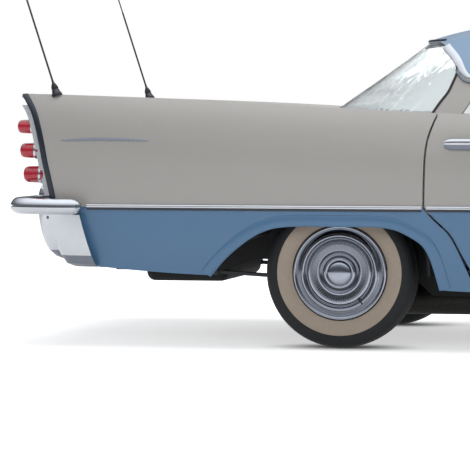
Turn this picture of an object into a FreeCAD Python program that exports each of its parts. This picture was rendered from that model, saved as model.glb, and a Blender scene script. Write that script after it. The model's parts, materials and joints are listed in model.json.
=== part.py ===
# A four-door hardtop car of the late 1950s with tail fins, as a parametric document.
# Origin: on the ground, midway along the car's length. X forward, Y to the car's left, Z up, millimetres.
import FreeCAD, Part
import math
import os
import re

from FreeCAD import Vector, Placement, Rotation

doc = FreeCAD.newDocument("hardtop_car")

# Driving dimensions
SIZES = [
    ("overall_length", 5600, "bumper to bumper"),
    ("half_width", 993, "centre line to the widest point of the body side"),
    ("belt_height", 1010, "ground to the belt line at the doors"),
    ("roof_height", 1440, "ground to the highest point of the roof"),
    ("wheelbase", 3200, "front axle to rear axle"),
    ("rear_overhang", 1478, "rear axle to the rear end"),
    ("rear_track", 1516, "tyre centre to tyre centre, rear"),
    ("front_track", 1500, "tyre centre to tyre centre, front"),
    ("tyre_radius", 328, "hub to ground"),
    ("tyre_width", 204, "section width of the tyre"),
    ("rim_radius", 180, "bead seat of the wheel"),
    ("skin", 20, "outer panel with its flange and stiffening"),
    ("door_thickness", 150, "whole door, outer skin to trim panel"),
    ("door_flange", 26, "outer skin and its folded edge"),
    ("door_inset", 48, "inner door box behind the flange, front and bottom"),
    ("door_post_inset", 100, "inner door box behind the flange, at its rear"),
    ("panel_gap", 9, "gap between a moving panel and its neighbour"),
    ("glass_thickness", 7, "windscreen and rear window"),
    ("roof_skin", 28, "roof panel with its lining"),
    ("pillar_depth", 44, "windscreen and rear roof pillars, outside to inside"),
    ("floor_top", 330, "ground to the cabin floor"),
    ("floor_sheet", 12, "floor panel with its ribs"),
    ("trim_height", 612, "ground to the side moulding"),
    ("door_bottom", 306, "ground to the lower edge of the doors"),
    ("door_front_x", 762, "front edge of the front door"),
    ("door_split_x", -60, "gap between front and rear door"),
    ("door_rear_x", -936, "rear edge of the rear door"),
    ("hinge_setback", 100, "door hinge axis behind the front edge of its door"),
    ("hinge_depth", 28, "door hinge axis inside the widest point"),
    ("hood_rear_x", 1040, "rear edge of the bonnet"),
    ("hood_front_x", 2650, "front edge of the bonnet"),
    ("hood_half_width", 640, "half width of the bonnet at its rear edge"),
    ("trunk_front_x", -1640, "front edge of the boot lid"),
    ("trunk_low_z", 652, "ground to the lower edge of the boot lid at the tail"),
    ("trunk_half_width", 655, "half width of the boot lid"),
    ("arch_top", 534, "ground to the rear wheel opening"),
    ("front_arch_top", 612, "ground to the front wheel opening"),
    ("rail_height", 100, "frame rail section height"),
    ("rail_width", 82, "frame rail section width"),
    ("rail_spread", 560, "centre line to the frame rail centre at the cabin"),
    ("rail_spread_front", 372, "centre line to the frame rail centre at the engine"),
    ("axle_tube", 42, "radius of the rear axle tube"),
    ("hub_radius", 32, "radius of the stub shafts"),
    ("hub_clearance", 0.3, "running clearance of shafts and pins"),
    ("kingpin_y", 600, "centre line to the steering axis"),
    ("steering_wheel_radius", 205, "steering wheel, centre to rim centre"),
    ("steering_rim", 10, "steering wheel rim section radius"),
    ("antenna_length", 700, "aerial mast with its base"),
    ("antenna_lean", 18, "aerial lean to the rear, degrees"),
    ("seat_height", 600, "ground to the seat cushion top"),
    ("front_seat_half", 690, "half width of the front bench"),
    ("rear_seat_half", 585, "half width of the rear bench"),
    ("firewall_x", 1000, "rear face of the firewall"),
    ("bulkhead_x", -1330, "rear face of the bulkhead behind the rear seat"),
    ("kick_up_height", 500, "ground to the rails' top over the rear axle"),
    ("boot_floor_height", 420, "ground to the rails' top under the boot"),
    ("front_rail_top", 400, "ground to the rails' top beside the engine"),
    ("tail_frame_x", -2375, "rear end of the frame"),
    ("floor_narrow_half", 600, "half width of the floor between the rear wheelhouses"),
    ("tunnel_half_width", 130, "half width of the transmission tunnel"),
    ("tunnel_top", 440, "ground to the top of the tunnel"),
    ("rear_house_radius", 400, "rear wheelhouse about the wheel's centre"),
    ("front_house_radius", 450, "front wheelhouse about the wheel's centre"),
    ("cross_lift", 12, "cross-members' underside above the rails' underside"),
    ("middle_cross_x", -640, "rear face of the middle cross-member"),
    ("middle_cross_depth", 100, "middle cross-member, front to rear"),
    ("middle_cross_top", 55, "middle cross-member's top above the rails' underside"),
    ("gearbox_cross_x", 560, "rear face of the gearbox cross-member"),
    ("gearbox_cross_depth", 80, "gearbox cross-member, front to rear"),
    ("gearbox_cross_top", 30, "gearbox cross-member's top above the rails' underside"),
    ("axle_cross_depth", 140, "front suspension cross-member, front to rear"),
    ("axle_cross_low", 250, "ground to the front suspension cross-member"),
    ("axle_cross_high", 330, "ground to the top of the front suspension cross-member"),
    ("nose_cross_x", 2370, "rear face of the nose cross-member"),
    ("nose_cross_depth", 80, "nose cross-member, front to rear"),
    ("tail_cross_depth", 70, "tail cross-member, front to rear"),
    ("engine_rear_x", 1500, "rear face of the engine"),
    ("engine_length", 550, "engine, front to rear"),
    ("engine_half_width", 180, "half width of the engine"),
    ("engine_top", 760, "ground to the top of the engine"),
    ("gearbox_half_width", 100, "half width of the gearbox"),
    ("gearbox_tail_half", 90, "half width of the gearbox tail housing"),
    ("gearbox_top", 410, "ground to the top of the gearbox"),
    ("driveshaft_radius", 38, "driveshaft tube"),
    ("banjo_radius", 125, "differential casing"),
    ("axle_tube_end", 640, "centre line to the end of the axle casing"),
    ("shaft_end", 700, "centre line to the end of the stub shafts"),
    ("exhaust_radius", 26, "exhaust pipe"),
    ("silencer_radius", 70, "silencer"),
    ("silencer_length", 450, "silencer, front to rear"),
    ("tank_rear_x", -2290, "rear face of the fuel tank"),
    ("tank_length", 380, "fuel tank, front to rear"),
    ("tank_half_width", 400, "half width of the fuel tank"),
    ("tank_low", 260, "ground to the fuel tank"),
    ("tank_rounding", 40, "rounding of the fuel tank's edges"),
    ("radiator_depth", 60, "radiator, front to rear"),
    ("radiator_half_width", 330, "half width of the radiator"),
    ("radiator_top", 830, "ground to the top of the radiator"),
    ("knuckle_radius", 26, "front knuckle's upright"),
    ("kingpin_radius", 12, "kingpin and steering column pin"),
    ("knuckle_low", 210, "ground to the foot of the knuckle"),
    ("knuckle_high", 450, "ground to the head of the knuckle"),
    ("cover_radius", 202, "full wheel cover"),
    ("cover_dome", 23, "how far the wheel cover's centre stands out"),
    ("rear_bumper_height", 611, "ground to the middle of the rear blade"),
    ("front_bumper_height", 470, "ground to the middle of the front blade"),
    ("grille_half_width", 540, "half width of the grille opening"),
    ("grille_low", 535, "ground to the grille opening"),
    ("grille_high", 690, "ground to the top of the grille opening"),
    ("headlamp_radius", 64, "headlamp with its bezel"),
    ("headlamp_height", 765, "ground to the middle of the headlamps"),
    ("steering_column_y", 360, "centre line to the steering column"),
    ("steering_hub_radius", 34, "steering wheel hub"),
    ("spoke_radius", 9, "steering wheel spoke"),
]

sheet = doc.addObject("Spreadsheet::Sheet", "Sizes")
for row, (alias, value, note) in enumerate(SIZES, start=1):
    sheet.set("A%d" % row, note)
    sheet.set("B%d" % row, str(value))
    sheet.setAlias("B%d" % row, alias)
doc.recompute()


def size(alias):
    return float(getattr(sheet, alias))


LENGTH = size("overall_length")
HALF_LENGTH = LENGTH / 2
HALF_WIDTH = size("half_width")
BELT = size("belt_height")
ROOF = size("roof_height")
REAR_AXLE_X = -HALF_LENGTH + size("rear_overhang")
FRONT_AXLE_X = REAR_AXLE_X + size("wheelbase")
TYRE_R = size("tyre_radius")
TYRE_W = size("tyre_width")
SKIN = size("skin")
GAP = size("panel_gap")
TRIM_Z = size("trim_height")
FLOOR = size("floor_top")
SHEET = size("floor_sheet")
WIDE = 2 * HALF_WIDTH
TALL = 2 * ROOF
SEAT_GAP = 0.3


def feature(label, shape):
    """A sub-part whose shape comes from Part's own functions."""
    obj = doc.addObject("Part::Feature", label)
    obj.Label = label
    obj.Shape = shape
    return obj


ALIASES = {alias for alias, value, note in SIZES}


def cells(text):
    """An expression in plain size names, as one that reads the sheet."""
    return re.sub("[a-z_]+", lambda word: "Sizes." + word.group() if word.group() in ALIASES else word.group(), text)


def solid_box(name, x0, x1, y0, y1, z0, z1):
    """A box between pairs of expressions in the sheet's sizes."""
    box = doc.addObject("Part::Box", name)
    for prop, axis, low, high in (("Length", "x", x0, x1), ("Width", "y", y0, y1), ("Height", "z", z0, z1)):
        box.setExpression(prop, cells("(%s) - (%s)" % (high, low)))
        box.setExpression(".Placement.Base." + axis, cells(low))
    return box


def solid_bar(name, x0, x1, y0, y1, z0, z1):
    """A box between places that are already worked out."""
    return solid_box(name, *["%.9g" % place for place in (x0, x1, y0, y1, z0, z1)])


def solid_rod(name, start, end, radius):
    """A cylinder between two points, with its radius bound to the sheet."""
    rod_object = doc.addObject("Part::Cylinder", name)
    rod_object.setExpression("Radius", cells(radius))
    rod_object.Height = (end - start).Length
    rod_object.Placement = Placement(start, Rotation(Vector(0, 0, 1), end - start))
    return rod_object


def joined(name, objects):
    """Objects that touch or cross, as one solid."""
    fusion = doc.addObject("Part::MultiFuse", name)
    fusion.Shapes = objects
    fusion.Refine = True
    return fusion


def grouped(name, objects):
    """Separate solids that share a node."""
    group = doc.addObject("Part::Compound", name)
    group.Links = objects
    return group


def plain(shape):
    """One solid, or a compound of solids, without anything round it."""
    solids = shape.Solids
    return solids[0] if len(solids) == 1 else Part.Compound(solids)


def biggest(shape):
    return max(shape.Solids, key=lambda solid: solid.Volume)


def mirrored(shape):
    """The same piece on the car's other side."""
    return shape.mirror(Vector(), Vector(0, 1, 0))


def both(shape):
    return Part.Compound([shape, mirrored(shape)])


def edge_through(points, spread=None):
    """A straight edge through two points, or one smooth curve through more, with its points at the shares in spread."""
    if len(points) == 2:
        return Part.makeLine(points[0], points[1])
    curve = Part.BSplineCurve()
    even = [i / (len(points) - 1) for i in range(len(points))]
    curve.interpolate(Points=points, Parameters=spread or even)
    return curve.toShape()


def outline(runs, to_point):
    """A closed wire from runs of points: a run of two is straight, and a longer one is a curve."""
    edges = []
    for run in runs:
        edges.append(edge_through([to_point(*p) for p in run]))
    first = runs[0][0]
    last = runs[-1][-1]
    if first != last:
        edges.append(Part.makeLine(to_point(*last), to_point(*first)))
    return Part.Wire(edges)


def corners(points):
    """Straight runs through the points, closed."""
    ring = list(points) + [points[0]]
    return [[ring[i], ring[i + 1]] for i in range(len(points))]


def side_prism(runs, low_y, high_y):
    """A side-view outline in X and Z, extruded across the car from low_y to high_y."""
    wire = outline(runs, lambda x, z: Vector(x, low_y, z))
    return Part.Face(wire).extrude(Vector(0, high_y - low_y, 0))


def plan_prism(runs, low_z, high_z):
    """A plan-view outline in X and Y, extruded upwards from low_z to high_z."""
    wire = outline(runs, lambda x, y: Vector(x, y, low_z))
    return Part.Face(wire).extrude(Vector(0, 0, high_z - low_z))


def block(x0, x1, y0, y1, z0, z1):
    return Part.makeBox(x1 - x0, y1 - y0, z1 - z0, Vector(x0, y0, z0))


def rod(start, end, radius):
    axis = end - start
    return Part.makeCylinder(radius, axis.Length, start, axis)


def fused(shapes):
    result = shapes[0].multiFuse(shapes[1:])
    return result.removeSplitter()


# Body sections, as shares of half the length, half the width and the belt height:
# station, bottom z, bottom y, low y, moulding y, shoulder y, crest y, crest z, valley y, valley z, centre z
BODY_SHARES = [
    (-1.010, 0.350, 0.842, 0.864, 0.882, 0.892, 0.874, 1.090, 0.733, 0.842, 0.860),
    (-0.875, 0.350, 0.882, 0.906, 0.930, 0.930, 0.891, 1.082, 0.715, 0.880, 0.902),
    (-0.680, 0.312, 0.907, 0.937, 0.963, 0.956, 0.910, 1.062, 0.718, 0.932, 0.960),
    (-0.472, 0.290, 0.917, 0.950, 0.979, 0.968, 0.923, 1.029, 0.738, 0.965, 0.995),
    (-0.300, 0.256, 0.917, 0.952, 0.984, 0.970, 0.930, 1.003, 0.772, 0.975, 1.000),
    (0.000, 0.254, 0.917, 0.952, 0.984, 0.970, 0.930, 0.994, 0.772, 0.975, 1.000),
    (0.285, 0.256, 0.912, 0.947, 0.978, 0.963, 0.922, 0.990, 0.733, 0.968, 1.000),
    (0.470, 0.267, 0.903, 0.937, 0.966, 0.953, 0.907, 0.980, 0.684, 0.955, 0.995),
    (0.670, 0.287, 0.892, 0.924, 0.953, 0.940, 0.891, 0.958, 0.645, 0.929, 0.975),
    (0.850, 0.312, 0.862, 0.892, 0.921, 0.909, 0.861, 0.931, 0.610, 0.897, 0.945),
    (1.010, 0.340, 0.807, 0.834, 0.858, 0.848, 0.802, 0.905, 0.576, 0.860, 0.905),
]
LOW_Z_SHARE = 0.43
MOULDING_Z_SHARE = 0.605
SHOULDER_DROP_SHARE = 0.070
ROLL_DROP_SHARE = 0.012
ROLL_IN_SHARE = 0.052
VALLEY_OUT_SHARE = 0.3
VALLEY_BEHIND = 40.0
ROLL_INSIDE_SHARE = 0.3
CREST_SOLID = 30.0
SIDE_SPREAD = [0.0, 0.18, 0.42, 0.89, 1.0]
CROWN_SPREAD = [0.0, 0.030, 0.120, 0.31, 0.5, 0.69, 0.880, 0.970, 1.0]


def body_section(row, inset, lift, drop):
    """The closed section at one station, taken in by inset at the sides, with its bottom at lift and its top down by drop."""
    station, bz, by, ly, my, sy, cy, cz, vy, vz, mz = row
    x = station * HALF_LENGTH
    low = bz * BELT + lift
    half = [
        (by * HALF_WIDTH - inset, low),
        (ly * HALF_WIDTH - inset, LOW_Z_SHARE * BELT),
        (my * HALF_WIDTH - inset, MOULDING_Z_SHARE * BELT),
        (sy * HALF_WIDTH - inset, (cz - SHOULDER_DROP_SHARE) * BELT - drop),
        (cy * HALF_WIDTH - inset, cz * BELT - drop),
    ]
    thin = ROLL_INSIDE_SHARE if inset > 0 else 1.0
    crest = cz * BELT - drop - (CREST_SOLID if inset > 0 else 0.0)
    rolled = (cy - ROLL_IN_SHARE * thin) * HALF_WIDTH - inset
    valley = min(vy * HALF_WIDTH + VALLEY_OUT_SHARE * inset, rolled - VALLEY_BEHIND)
    half[-1] = (half[-1][0], crest)
    top = [
        (cy * HALF_WIDTH - inset, crest),
        (rolled, crest - ROLL_DROP_SHARE * BELT),
        (valley, vz * BELT - drop),
        (valley / 2, (vz + 3 * mz) / 4 * BELT - drop),
        (0.0, mz * BELT - drop),
    ]
    top += [(-y, z) for y, z in reversed(top[:-1])]
    left = [Vector(x, y, z) for y, z in half]
    right = [Vector(x, -y, z) for y, z in reversed(half)]
    crown = [Vector(x, y, z) for y, z in top]
    return Part.Wire([
        edge_through(left, SIDE_SPREAD),
        edge_through(crown, CROWN_SPREAD),
        edge_through(right, [1.0 - share for share in reversed(SIDE_SPREAD)]),
        edge_through([right[-1], left[0]]),
    ])


def body_loft(inset=0.0, lift=0.0, drop=0.0):
    return Part.makeLoft([body_section(row, inset, lift, drop) for row in BODY_SHARES], True)


OUTER = body_loft()
OPEN_BELOW = 60.0
INNER = body_loft(SKIN, -OPEN_BELOW, SKIN)
DOOR_INNER = body_loft(size("door_thickness"), -OPEN_BELOW, -OPEN_BELOW - CREST_SOLID)
FLANGE_INNER = body_loft(size("door_flange"), -OPEN_BELOW, SKIN)

# The rear end in side view: the fins lean back at the top, and the tail below tucks under the bumper
FIN_TIP_X = -HALF_LENGTH + 70.0
TAIL_END = [
    (FIN_TIP_X, 1.095 * BELT),
    (FIN_TIP_X + 47.0, 1.020 * BELT),
    (FIN_TIP_X + 72.0, 0.950 * BELT),
    (FIN_TIP_X + 104.0, 0.800 * BELT),
    (FIN_TIP_X + 142.0, 0.623 * BELT),
]
TAIL_LOW = [
    (FIN_TIP_X + 142.0, 0.623 * BELT),
    (FIN_TIP_X + 269.0, 0.586 * BELT),
    (FIN_TIP_X + 326.0, 0.330 * BELT),
]
BEYOND = 400.0
tail_cut = side_prism(
    [
        TAIL_END,
        [TAIL_END[-1], TAIL_LOW[1]],
        [TAIL_LOW[1], TAIL_LOW[2]],
        [TAIL_LOW[2], (TAIL_LOW[2][0], 0.0)],
        [(TAIL_LOW[2][0], 0.0), (-HALF_LENGTH - BEYOND, 0.0)],
        [(-HALF_LENGTH - BEYOND, 0.0), (-HALF_LENGTH - BEYOND, 1.095 * BELT + BEYOND)],
        [(-HALF_LENGTH - BEYOND, 1.095 * BELT + BEYOND), (FIN_TIP_X, 1.095 * BELT + BEYOND)],
        [(FIN_TIP_X, 1.095 * BELT + BEYOND), TAIL_END[0]],
    ],
    -WIDE, WIDE,
)


# The nose in side view: hooded brow, lamp panel leaning back, chin
BROW_X = HALF_LENGTH - 60.0
NOSE = [
    (BROW_X, 0.94 * BELT),
    (BROW_X - 12.0, 0.88 * BELT),
    (BROW_X - 52.0, 0.82 * BELT),
    (BROW_X - 62.0, 0.66 * BELT),
    (BROW_X - 90.0, 0.52 * BELT),
    (BROW_X - 170.0, 0.34 * BELT),
]
nose_cut = side_prism(
    [
        NOSE,
        [NOSE[-1], (NOSE[-1][0], 0.0)],
        [(NOSE[-1][0], 0.0), (HALF_LENGTH + BEYOND, 0.0)],
        [(HALF_LENGTH + BEYOND, 0.0), (HALF_LENGTH + BEYOND, BELT + BEYOND)],
        [(HALF_LENGTH + BEYOND, BELT + BEYOND), (BROW_X, BELT + BEYOND)],
        [(BROW_X, BELT + BEYOND), NOSE[0]],
    ],
    -WIDE, WIDE,
)
PLAN_NOSE = [
    (BROW_X - 230.0, 1.02 * HALF_WIDTH),
    (BROW_X - 90.0, 0.86 * HALF_WIDTH),
    (BROW_X - 22.0, 0.50 * HALF_WIDTH),
    (BROW_X, 0.0),
    (BROW_X - 22.0, -0.50 * HALF_WIDTH),
    (BROW_X - 90.0, -0.86 * HALF_WIDTH),
    (BROW_X - 230.0, -1.02 * HALF_WIDTH),
]
plan_limit = plan_prism(
    [
        PLAN_NOSE,
        [PLAN_NOSE[-1], (-HALF_LENGTH - BEYOND, -1.02 * HALF_WIDTH)],
        [(-HALF_LENGTH - BEYOND, -1.02 * HALF_WIDTH), (-HALF_LENGTH - BEYOND, 1.02 * HALF_WIDTH)],
        [(-HALF_LENGTH - BEYOND, 1.02 * HALF_WIDTH), PLAN_NOSE[0]],
    ],
    0.0, TALL,
)
TRIMMED = OUTER.cut(tail_cut).cut(nose_cut).common(plan_limit)


def shifted(shape, dx, dz=0.0):
    return shape.translated(Vector(dx, 0, dz))


# The hollow body: sides and top from the sections, and end walls as thick as the skin
front_hollow = shifted(nose_cut, -SKIN)
rear_hollow = shifted(tail_cut, SKIN)
plan_hollow = shifted(plan_limit, -SKIN)
HOLLOW = INNER.cut(front_hollow).cut(rear_hollow).common(plan_hollow)
BODY = TRIMMED.cut(HOLLOW)

# Wheel openings in side view
REAR_ARCH = [
    (REAR_AXLE_X - 590.0, size("arch_top") - 260.0),
    (REAR_AXLE_X - 505.0, size("arch_top") - 161.0),
    (REAR_AXLE_X - 426.0, size("arch_top") - 91.0),
    (REAR_AXLE_X - 330.0, size("arch_top") - 30.0),
    (REAR_AXLE_X - 215.0, size("arch_top") - 2.0),
    (REAR_AXLE_X + 20.0, size("arch_top")),
    (REAR_AXLE_X + 215.0, size("arch_top") - 4.0),
    (REAR_AXLE_X + 318.0, size("arch_top") - 40.0),
    (REAR_AXLE_X + 395.0, size("arch_top") - 108.0),
    (REAR_AXLE_X + 447.0, size("arch_top") - 274.0),
    (REAR_AXLE_X + 458.0, size("arch_top") - 330.0),
]
FRONT_ARCH = [
    (FRONT_AXLE_X - 470.0, size("front_arch_top") - 400.0),
    (FRONT_AXLE_X - 425.0, size("front_arch_top") - 230.0),
    (FRONT_AXLE_X - 340.0, size("front_arch_top") - 80.0),
    (FRONT_AXLE_X - 200.0, size("front_arch_top") - 8.0),
    (FRONT_AXLE_X, size("front_arch_top")),
    (FRONT_AXLE_X + 200.0, size("front_arch_top") - 8.0),
    (FRONT_AXLE_X + 350.0, size("front_arch_top") - 80.0),
    (FRONT_AXLE_X + 450.0, size("front_arch_top") - 230.0),
    (FRONT_AXLE_X + 500.0, size("front_arch_top") - 400.0),
]
arch_cut = side_prism([REAR_ARCH], -WIDE, WIDE).fuse(side_prism([FRONT_ARCH], -WIDE, WIDE))

# Door outlines in side view
DOOR_TOP = BELT + 60.0
DOOR_LOW = size("door_bottom")
SPLIT = size("door_split_x")
FRONT_EDGE = size("door_front_x")
REAR_EDGE = size("door_rear_x")
LOW_GAP_SHARE = 1.7


def rear_door_edge(grow):
    """The rear door's rear edge: upright above the moulding, then round the wheel opening."""
    return [
        [(REAR_EDGE + 60.0 - grow, DOOR_TOP), (REAR_EDGE + 53.0 - grow, BELT),
         (REAR_EDGE + 18.0 - grow, 0.897 * BELT), (REAR_EDGE + 5.0 - grow, 0.767 * BELT),
         (REAR_EDGE - grow, TRIM_Z + 4.0 - grow / 2)],
        [(REAR_EDGE - grow, TRIM_Z + 4.0 - grow / 2), (REAR_EDGE + 62.0 - grow, TRIM_Z - 64.0 - grow / 2),
         (REAR_EDGE + 110.0 - grow, TRIM_Z - 112.0 - grow / 2), (REAR_EDGE + 150.0 - grow, TRIM_Z - 186.0 - grow / 2),
         (REAR_EDGE + 190.0 - LOW_GAP_SHARE * grow, TRIM_Z - 262.0 - grow / 2),
         (REAR_EDGE + 212.0 - LOW_GAP_SHARE * grow, DOOR_LOW - grow)],
    ]


def rear_door_runs(grow):
    x = SPLIT - GAP / 2 + grow
    return rear_door_edge(grow) + [
        [(REAR_EDGE + 212.0 - LOW_GAP_SHARE * grow, DOOR_LOW - grow), (x, DOOR_LOW - grow)],
        [(x, DOOR_LOW - grow), (x, DOOR_TOP)],
        [(x, DOOR_TOP), (REAR_EDGE + 60.0 - grow, DOOR_TOP)],
    ]


def front_door_runs(grow):
    low, high = SPLIT + GAP / 2 - grow, FRONT_EDGE + grow
    return corners([(low, DOOR_LOW - grow), (high, DOOR_LOW - grow), (high, DOOR_TOP), (low, DOOR_TOP)])


def box_runs(rear_x, front_x, low_z):
    return corners([(rear_x, low_z), (front_x, low_z), (front_x, DOOR_TOP), (rear_x, DOOR_TOP)])


door_holes = side_prism(rear_door_runs(GAP), -WIDE, WIDE).fuse(side_prism(front_door_runs(GAP), -WIDE, WIDE))
flange_wall = OUTER.cut(FLANGE_INNER).cut(DOOR_INNER)
door_wall = OUTER.cut(DOOR_INNER)
BOX_LOW = DOOR_LOW + 30.0
REAR_BOX_END = REAR_EDGE + 206.0
SLOT_IN = 0.77 * size("door_thickness")
SLOT_WIDE = 14.0
window_slot = body_loft(SLOT_IN, -OPEN_BELOW, -SKIN - CREST_SOLID).cut(
    body_loft(SLOT_IN + SLOT_WIDE, -OPEN_BELOW, -2 * SKIN - CREST_SOLID))
SLOT_DEPTH = 70.0


# Door handles
HANDLE_LEN, HANDLE_Z, HANDLE_OUT = 150.0, 884.0, 1001.0


def handle(rear_x):
    bar = block(rear_x, rear_x + HANDLE_LEN, HANDLE_OUT - 14.0, HANDLE_OUT, HANDLE_Z - 11.0, HANDLE_Z + 11.0)
    bar = bar.makeFillet(6.0, bar.Edges)
    foot = block(rear_x + 12.0, rear_x + 34.0, HANDLE_OUT - 30.0, HANDLE_OUT - 8.0, HANDLE_Z - 8.0, HANDLE_Z + 8.0)
    return bar.fuse(foot).fuse(foot.translated(Vector(HANDLE_LEN - 46.0, 0, 0)))


TOP_STRIP_Y = HALF_WIDTH - 70.0
TOP_STRIP_Z = 0.93 * BELT
HINGE_BACK, HINGE_Y = size("hinge_setback"), HALF_WIDTH - size("hinge_depth")


def swing_relief(front_x, rear_x):
    """What the strip along a door's top edge loses at its rear, so that it swings clear of the next panel."""
    strip = block(rear_x - 4 * SKIN, rear_x + HINGE_BACK, 0.0, TOP_STRIP_Y, TOP_STRIP_Z, TALL)
    hinge_x = front_x - HINGE_BACK
    return strip.cut(Part.makeCylinder(hinge_x - rear_x, TALL, Vector(hinge_x, HINGE_Y, 0.0)))


def door(runs, box, slot_rear, slot_front, handle_x, relief):
    """Outer skin with its folded edge, the thick door box inside it with the slot that the glass winds into, and the handle."""
    flange = flange_wall.common(side_prism(runs, 0.0, WIDE)).cut(relief)
    thick = door_wall.common(side_prism(box, 0.0, WIDE))
    slot = window_slot.common(block(slot_rear, slot_front, 0.0, WIDE, 0.98 * BELT - SLOT_DEPTH, DOOR_TOP))
    return flange.multiFuse([thick, handle(handle_x)]).cut(slot)


front_box_rear = SPLIT + GAP / 2 + size("door_post_inset")
front_box_front = FRONT_EDGE - size("door_inset")
rear_box_front = SPLIT - GAP / 2 - size("door_inset")
door_front_left = door(
    front_door_runs(0.0), box_runs(front_box_rear, front_box_front, BOX_LOW),
    front_box_rear + SKIN, front_box_front - SKIN, SPLIT + 70.0,
    swing_relief(FRONT_EDGE, SPLIT + GAP / 2))
door_rear_left = door(
    rear_door_runs(0.0), box_runs(REAR_BOX_END, rear_box_front, BOX_LOW),
    REAR_BOX_END + SKIN, rear_box_front - SKIN, REAR_EDGE + 92.0,
    swing_relief(SPLIT - GAP / 2, REAR_EDGE + 54.0))

# Posts behind the door edges, and the sills
POST_IN, POST_DEEP = 14.0, 15.0
behind_flange = body_loft(size("door_flange") + POST_IN, -OPEN_BELOW, SKIN)
thick_wall = OUTER.cut(body_loft(size("door_thickness") + POST_DEEP, -OPEN_BELOW, -OPEN_BELOW - CREST_SOLID))
FLOOR_HALF = 812.0
POST_Y = FLOOR_HALF + SHEET + 1.0
SILL_Y = FLOOR_HALF - SHEET
SILL_TOP = DOOR_LOW - GAP
SILL_REAR = REAR_EDGE + 204.0
SILL_FRONT = FRONT_EDGE + GAP
POST_TOP = 0.895 * BELT
POST_WIDE = 68.0
FRONT_POST_X = FRONT_EDGE + 24.0
CENTRE_POST_X = SPLIT + 8.0
sill = OUTER.common(block(SILL_REAR, SILL_FRONT, SILL_Y, WIDE, 0.0, SILL_TOP))


def post(x0, x1, z0, z1):
    """A pillar foot between two stations, behind the doors' folded edges."""
    return thick_wall.common(block(x0, x1, POST_Y, WIDE, z0, z1)).common(behind_flange)


LEAF_IN, LEAF_DEEP, LEAF_TALL = 3.0, 38.0, 60.0
LEAF_HEIGHTS = (0.56 * BELT, 0.82 * BELT)


def hinge_leaves(box_front, post_rear):
    """The fixed halves of a door's two hinges: plates from the post to the front of the door's box."""
    return [block(box_front + SEAT_GAP, post_rear + POST_WIDE / 2, POST_Y + LEAF_IN, POST_Y + LEAF_IN + LEAF_DEEP,
                  height, height + LEAF_TALL) for height in LEAF_HEIGHTS]


sill_left = sill.multiFuse([
    post(SILL_FRONT - POST_WIDE, FRONT_POST_X + POST_WIDE, 0.27 * BELT, SILL_TOP),
    post(FRONT_POST_X, FRONT_POST_X + POST_WIDE, 0.27 * BELT, POST_TOP),
    post(CENTRE_POST_X, CENTRE_POST_X + POST_WIDE, 0.28 * BELT, POST_TOP),
    *hinge_leaves(front_box_front, FRONT_POST_X),
    *hinge_leaves(rear_box_front, CENTRE_POST_X),
]).removeSplitter()

# The cabin opening in plan, and the roof, pillars and glass above it
# level z, screen centre x, screen corner x, corner y, side y, rear corner x, rear corner y, rear centre x
GLASS_LOW = (0.94 * BELT, 1120.0, 850.0, 808.0, 838.0, -985.0, 800.0, -1592.0)
GLASS_HIGH = (0.935 * ROOF, 668.0, 545.0, 640.0, 668.0, -892.0, 616.0, -992.0)
RISE = 0.30
MID_SHARE, MID_BACK_SHARE = 0.60, 0.13
END_SHARE, END_BACK_SHARE = 0.92, 0.52


def glass_ring(level, inset):
    """The closed plan outline of the glasshouse at one height, taken in by inset."""
    z, sx, cx, cy, my, rx, ry, bx = level
    sx, bx = sx - inset, bx + inset
    cy, my, ry = cy - inset, my - inset, ry - inset
    screen = [(cx, cy), (sx - END_BACK_SHARE * (sx - cx), END_SHARE * cy),
              (sx - MID_BACK_SHARE * (sx - cx), MID_SHARE * cy), (sx, 0.0)]
    back = [(rx, ry), (bx + END_BACK_SHARE * (rx - bx), END_SHARE * ry),
            (bx + MID_BACK_SHARE * (rx - bx), MID_SHARE * ry), (bx, 0.0)]
    side = [(cx, cy), ((cx + rx) / 2, my), (rx, ry)]
    runs = [
        screen + [(x, -y) for x, y in reversed(screen[:-1])],
        [(x, -y) for x, y in side],
        [(x, -y) for x, y in back] + [(x, y) for x, y in reversed(back[:-1])],
        list(reversed(side)),
    ]
    return outline(runs, lambda x, y: Vector(x, y, z))


def glasshouse(inset):
    higher = tuple(h + RISE * (h - low) for low, h in zip(GLASS_LOW, GLASS_HIGH))
    return Part.makeLoft([glass_ring(GLASS_LOW, inset), glass_ring(higher, inset)], True, True)


CROWN_SHARES = [
    (-0.62, 0.800), (-0.357, 0.9405), (-0.309, 0.9650), (-0.214, 0.9890), (-0.036, 1.000),
    (0.107, 0.9900), (0.200, 0.9660), (0.262, 0.9350), (0.45, 0.800),
]
CROWN_DROP_SHARE = 0.10


def crown(lower):
    """Everything under the roof's crowned surface, lowered by lower."""
    wires = []
    for x_share, z_share in CROWN_SHARES:
        x, top = x_share * HALF_LENGTH, z_share * ROOF - lower
        side_z = top - CROWN_DROP_SHARE * ROOF
        arc = [Vector(x, y * HALF_WIDTH, top - CROWN_DROP_SHARE * ROOF * y * y) for y in (-1, -0.5, 0, 0.5, 1)]
        low = 0.5 * BELT
        wires.append(Part.Wire([
            edge_through(arc),
            Part.makeLine(arc[-1], Vector(x, HALF_WIDTH, low)),
            Part.makeLine(Vector(x, HALF_WIDTH, low), Vector(x, -HALF_WIDTH, low)),
            Part.makeLine(Vector(x, -HALF_WIDTH, low), arc[0]),
        ]))
    return Part.makeLoft(wires, True)


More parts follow.
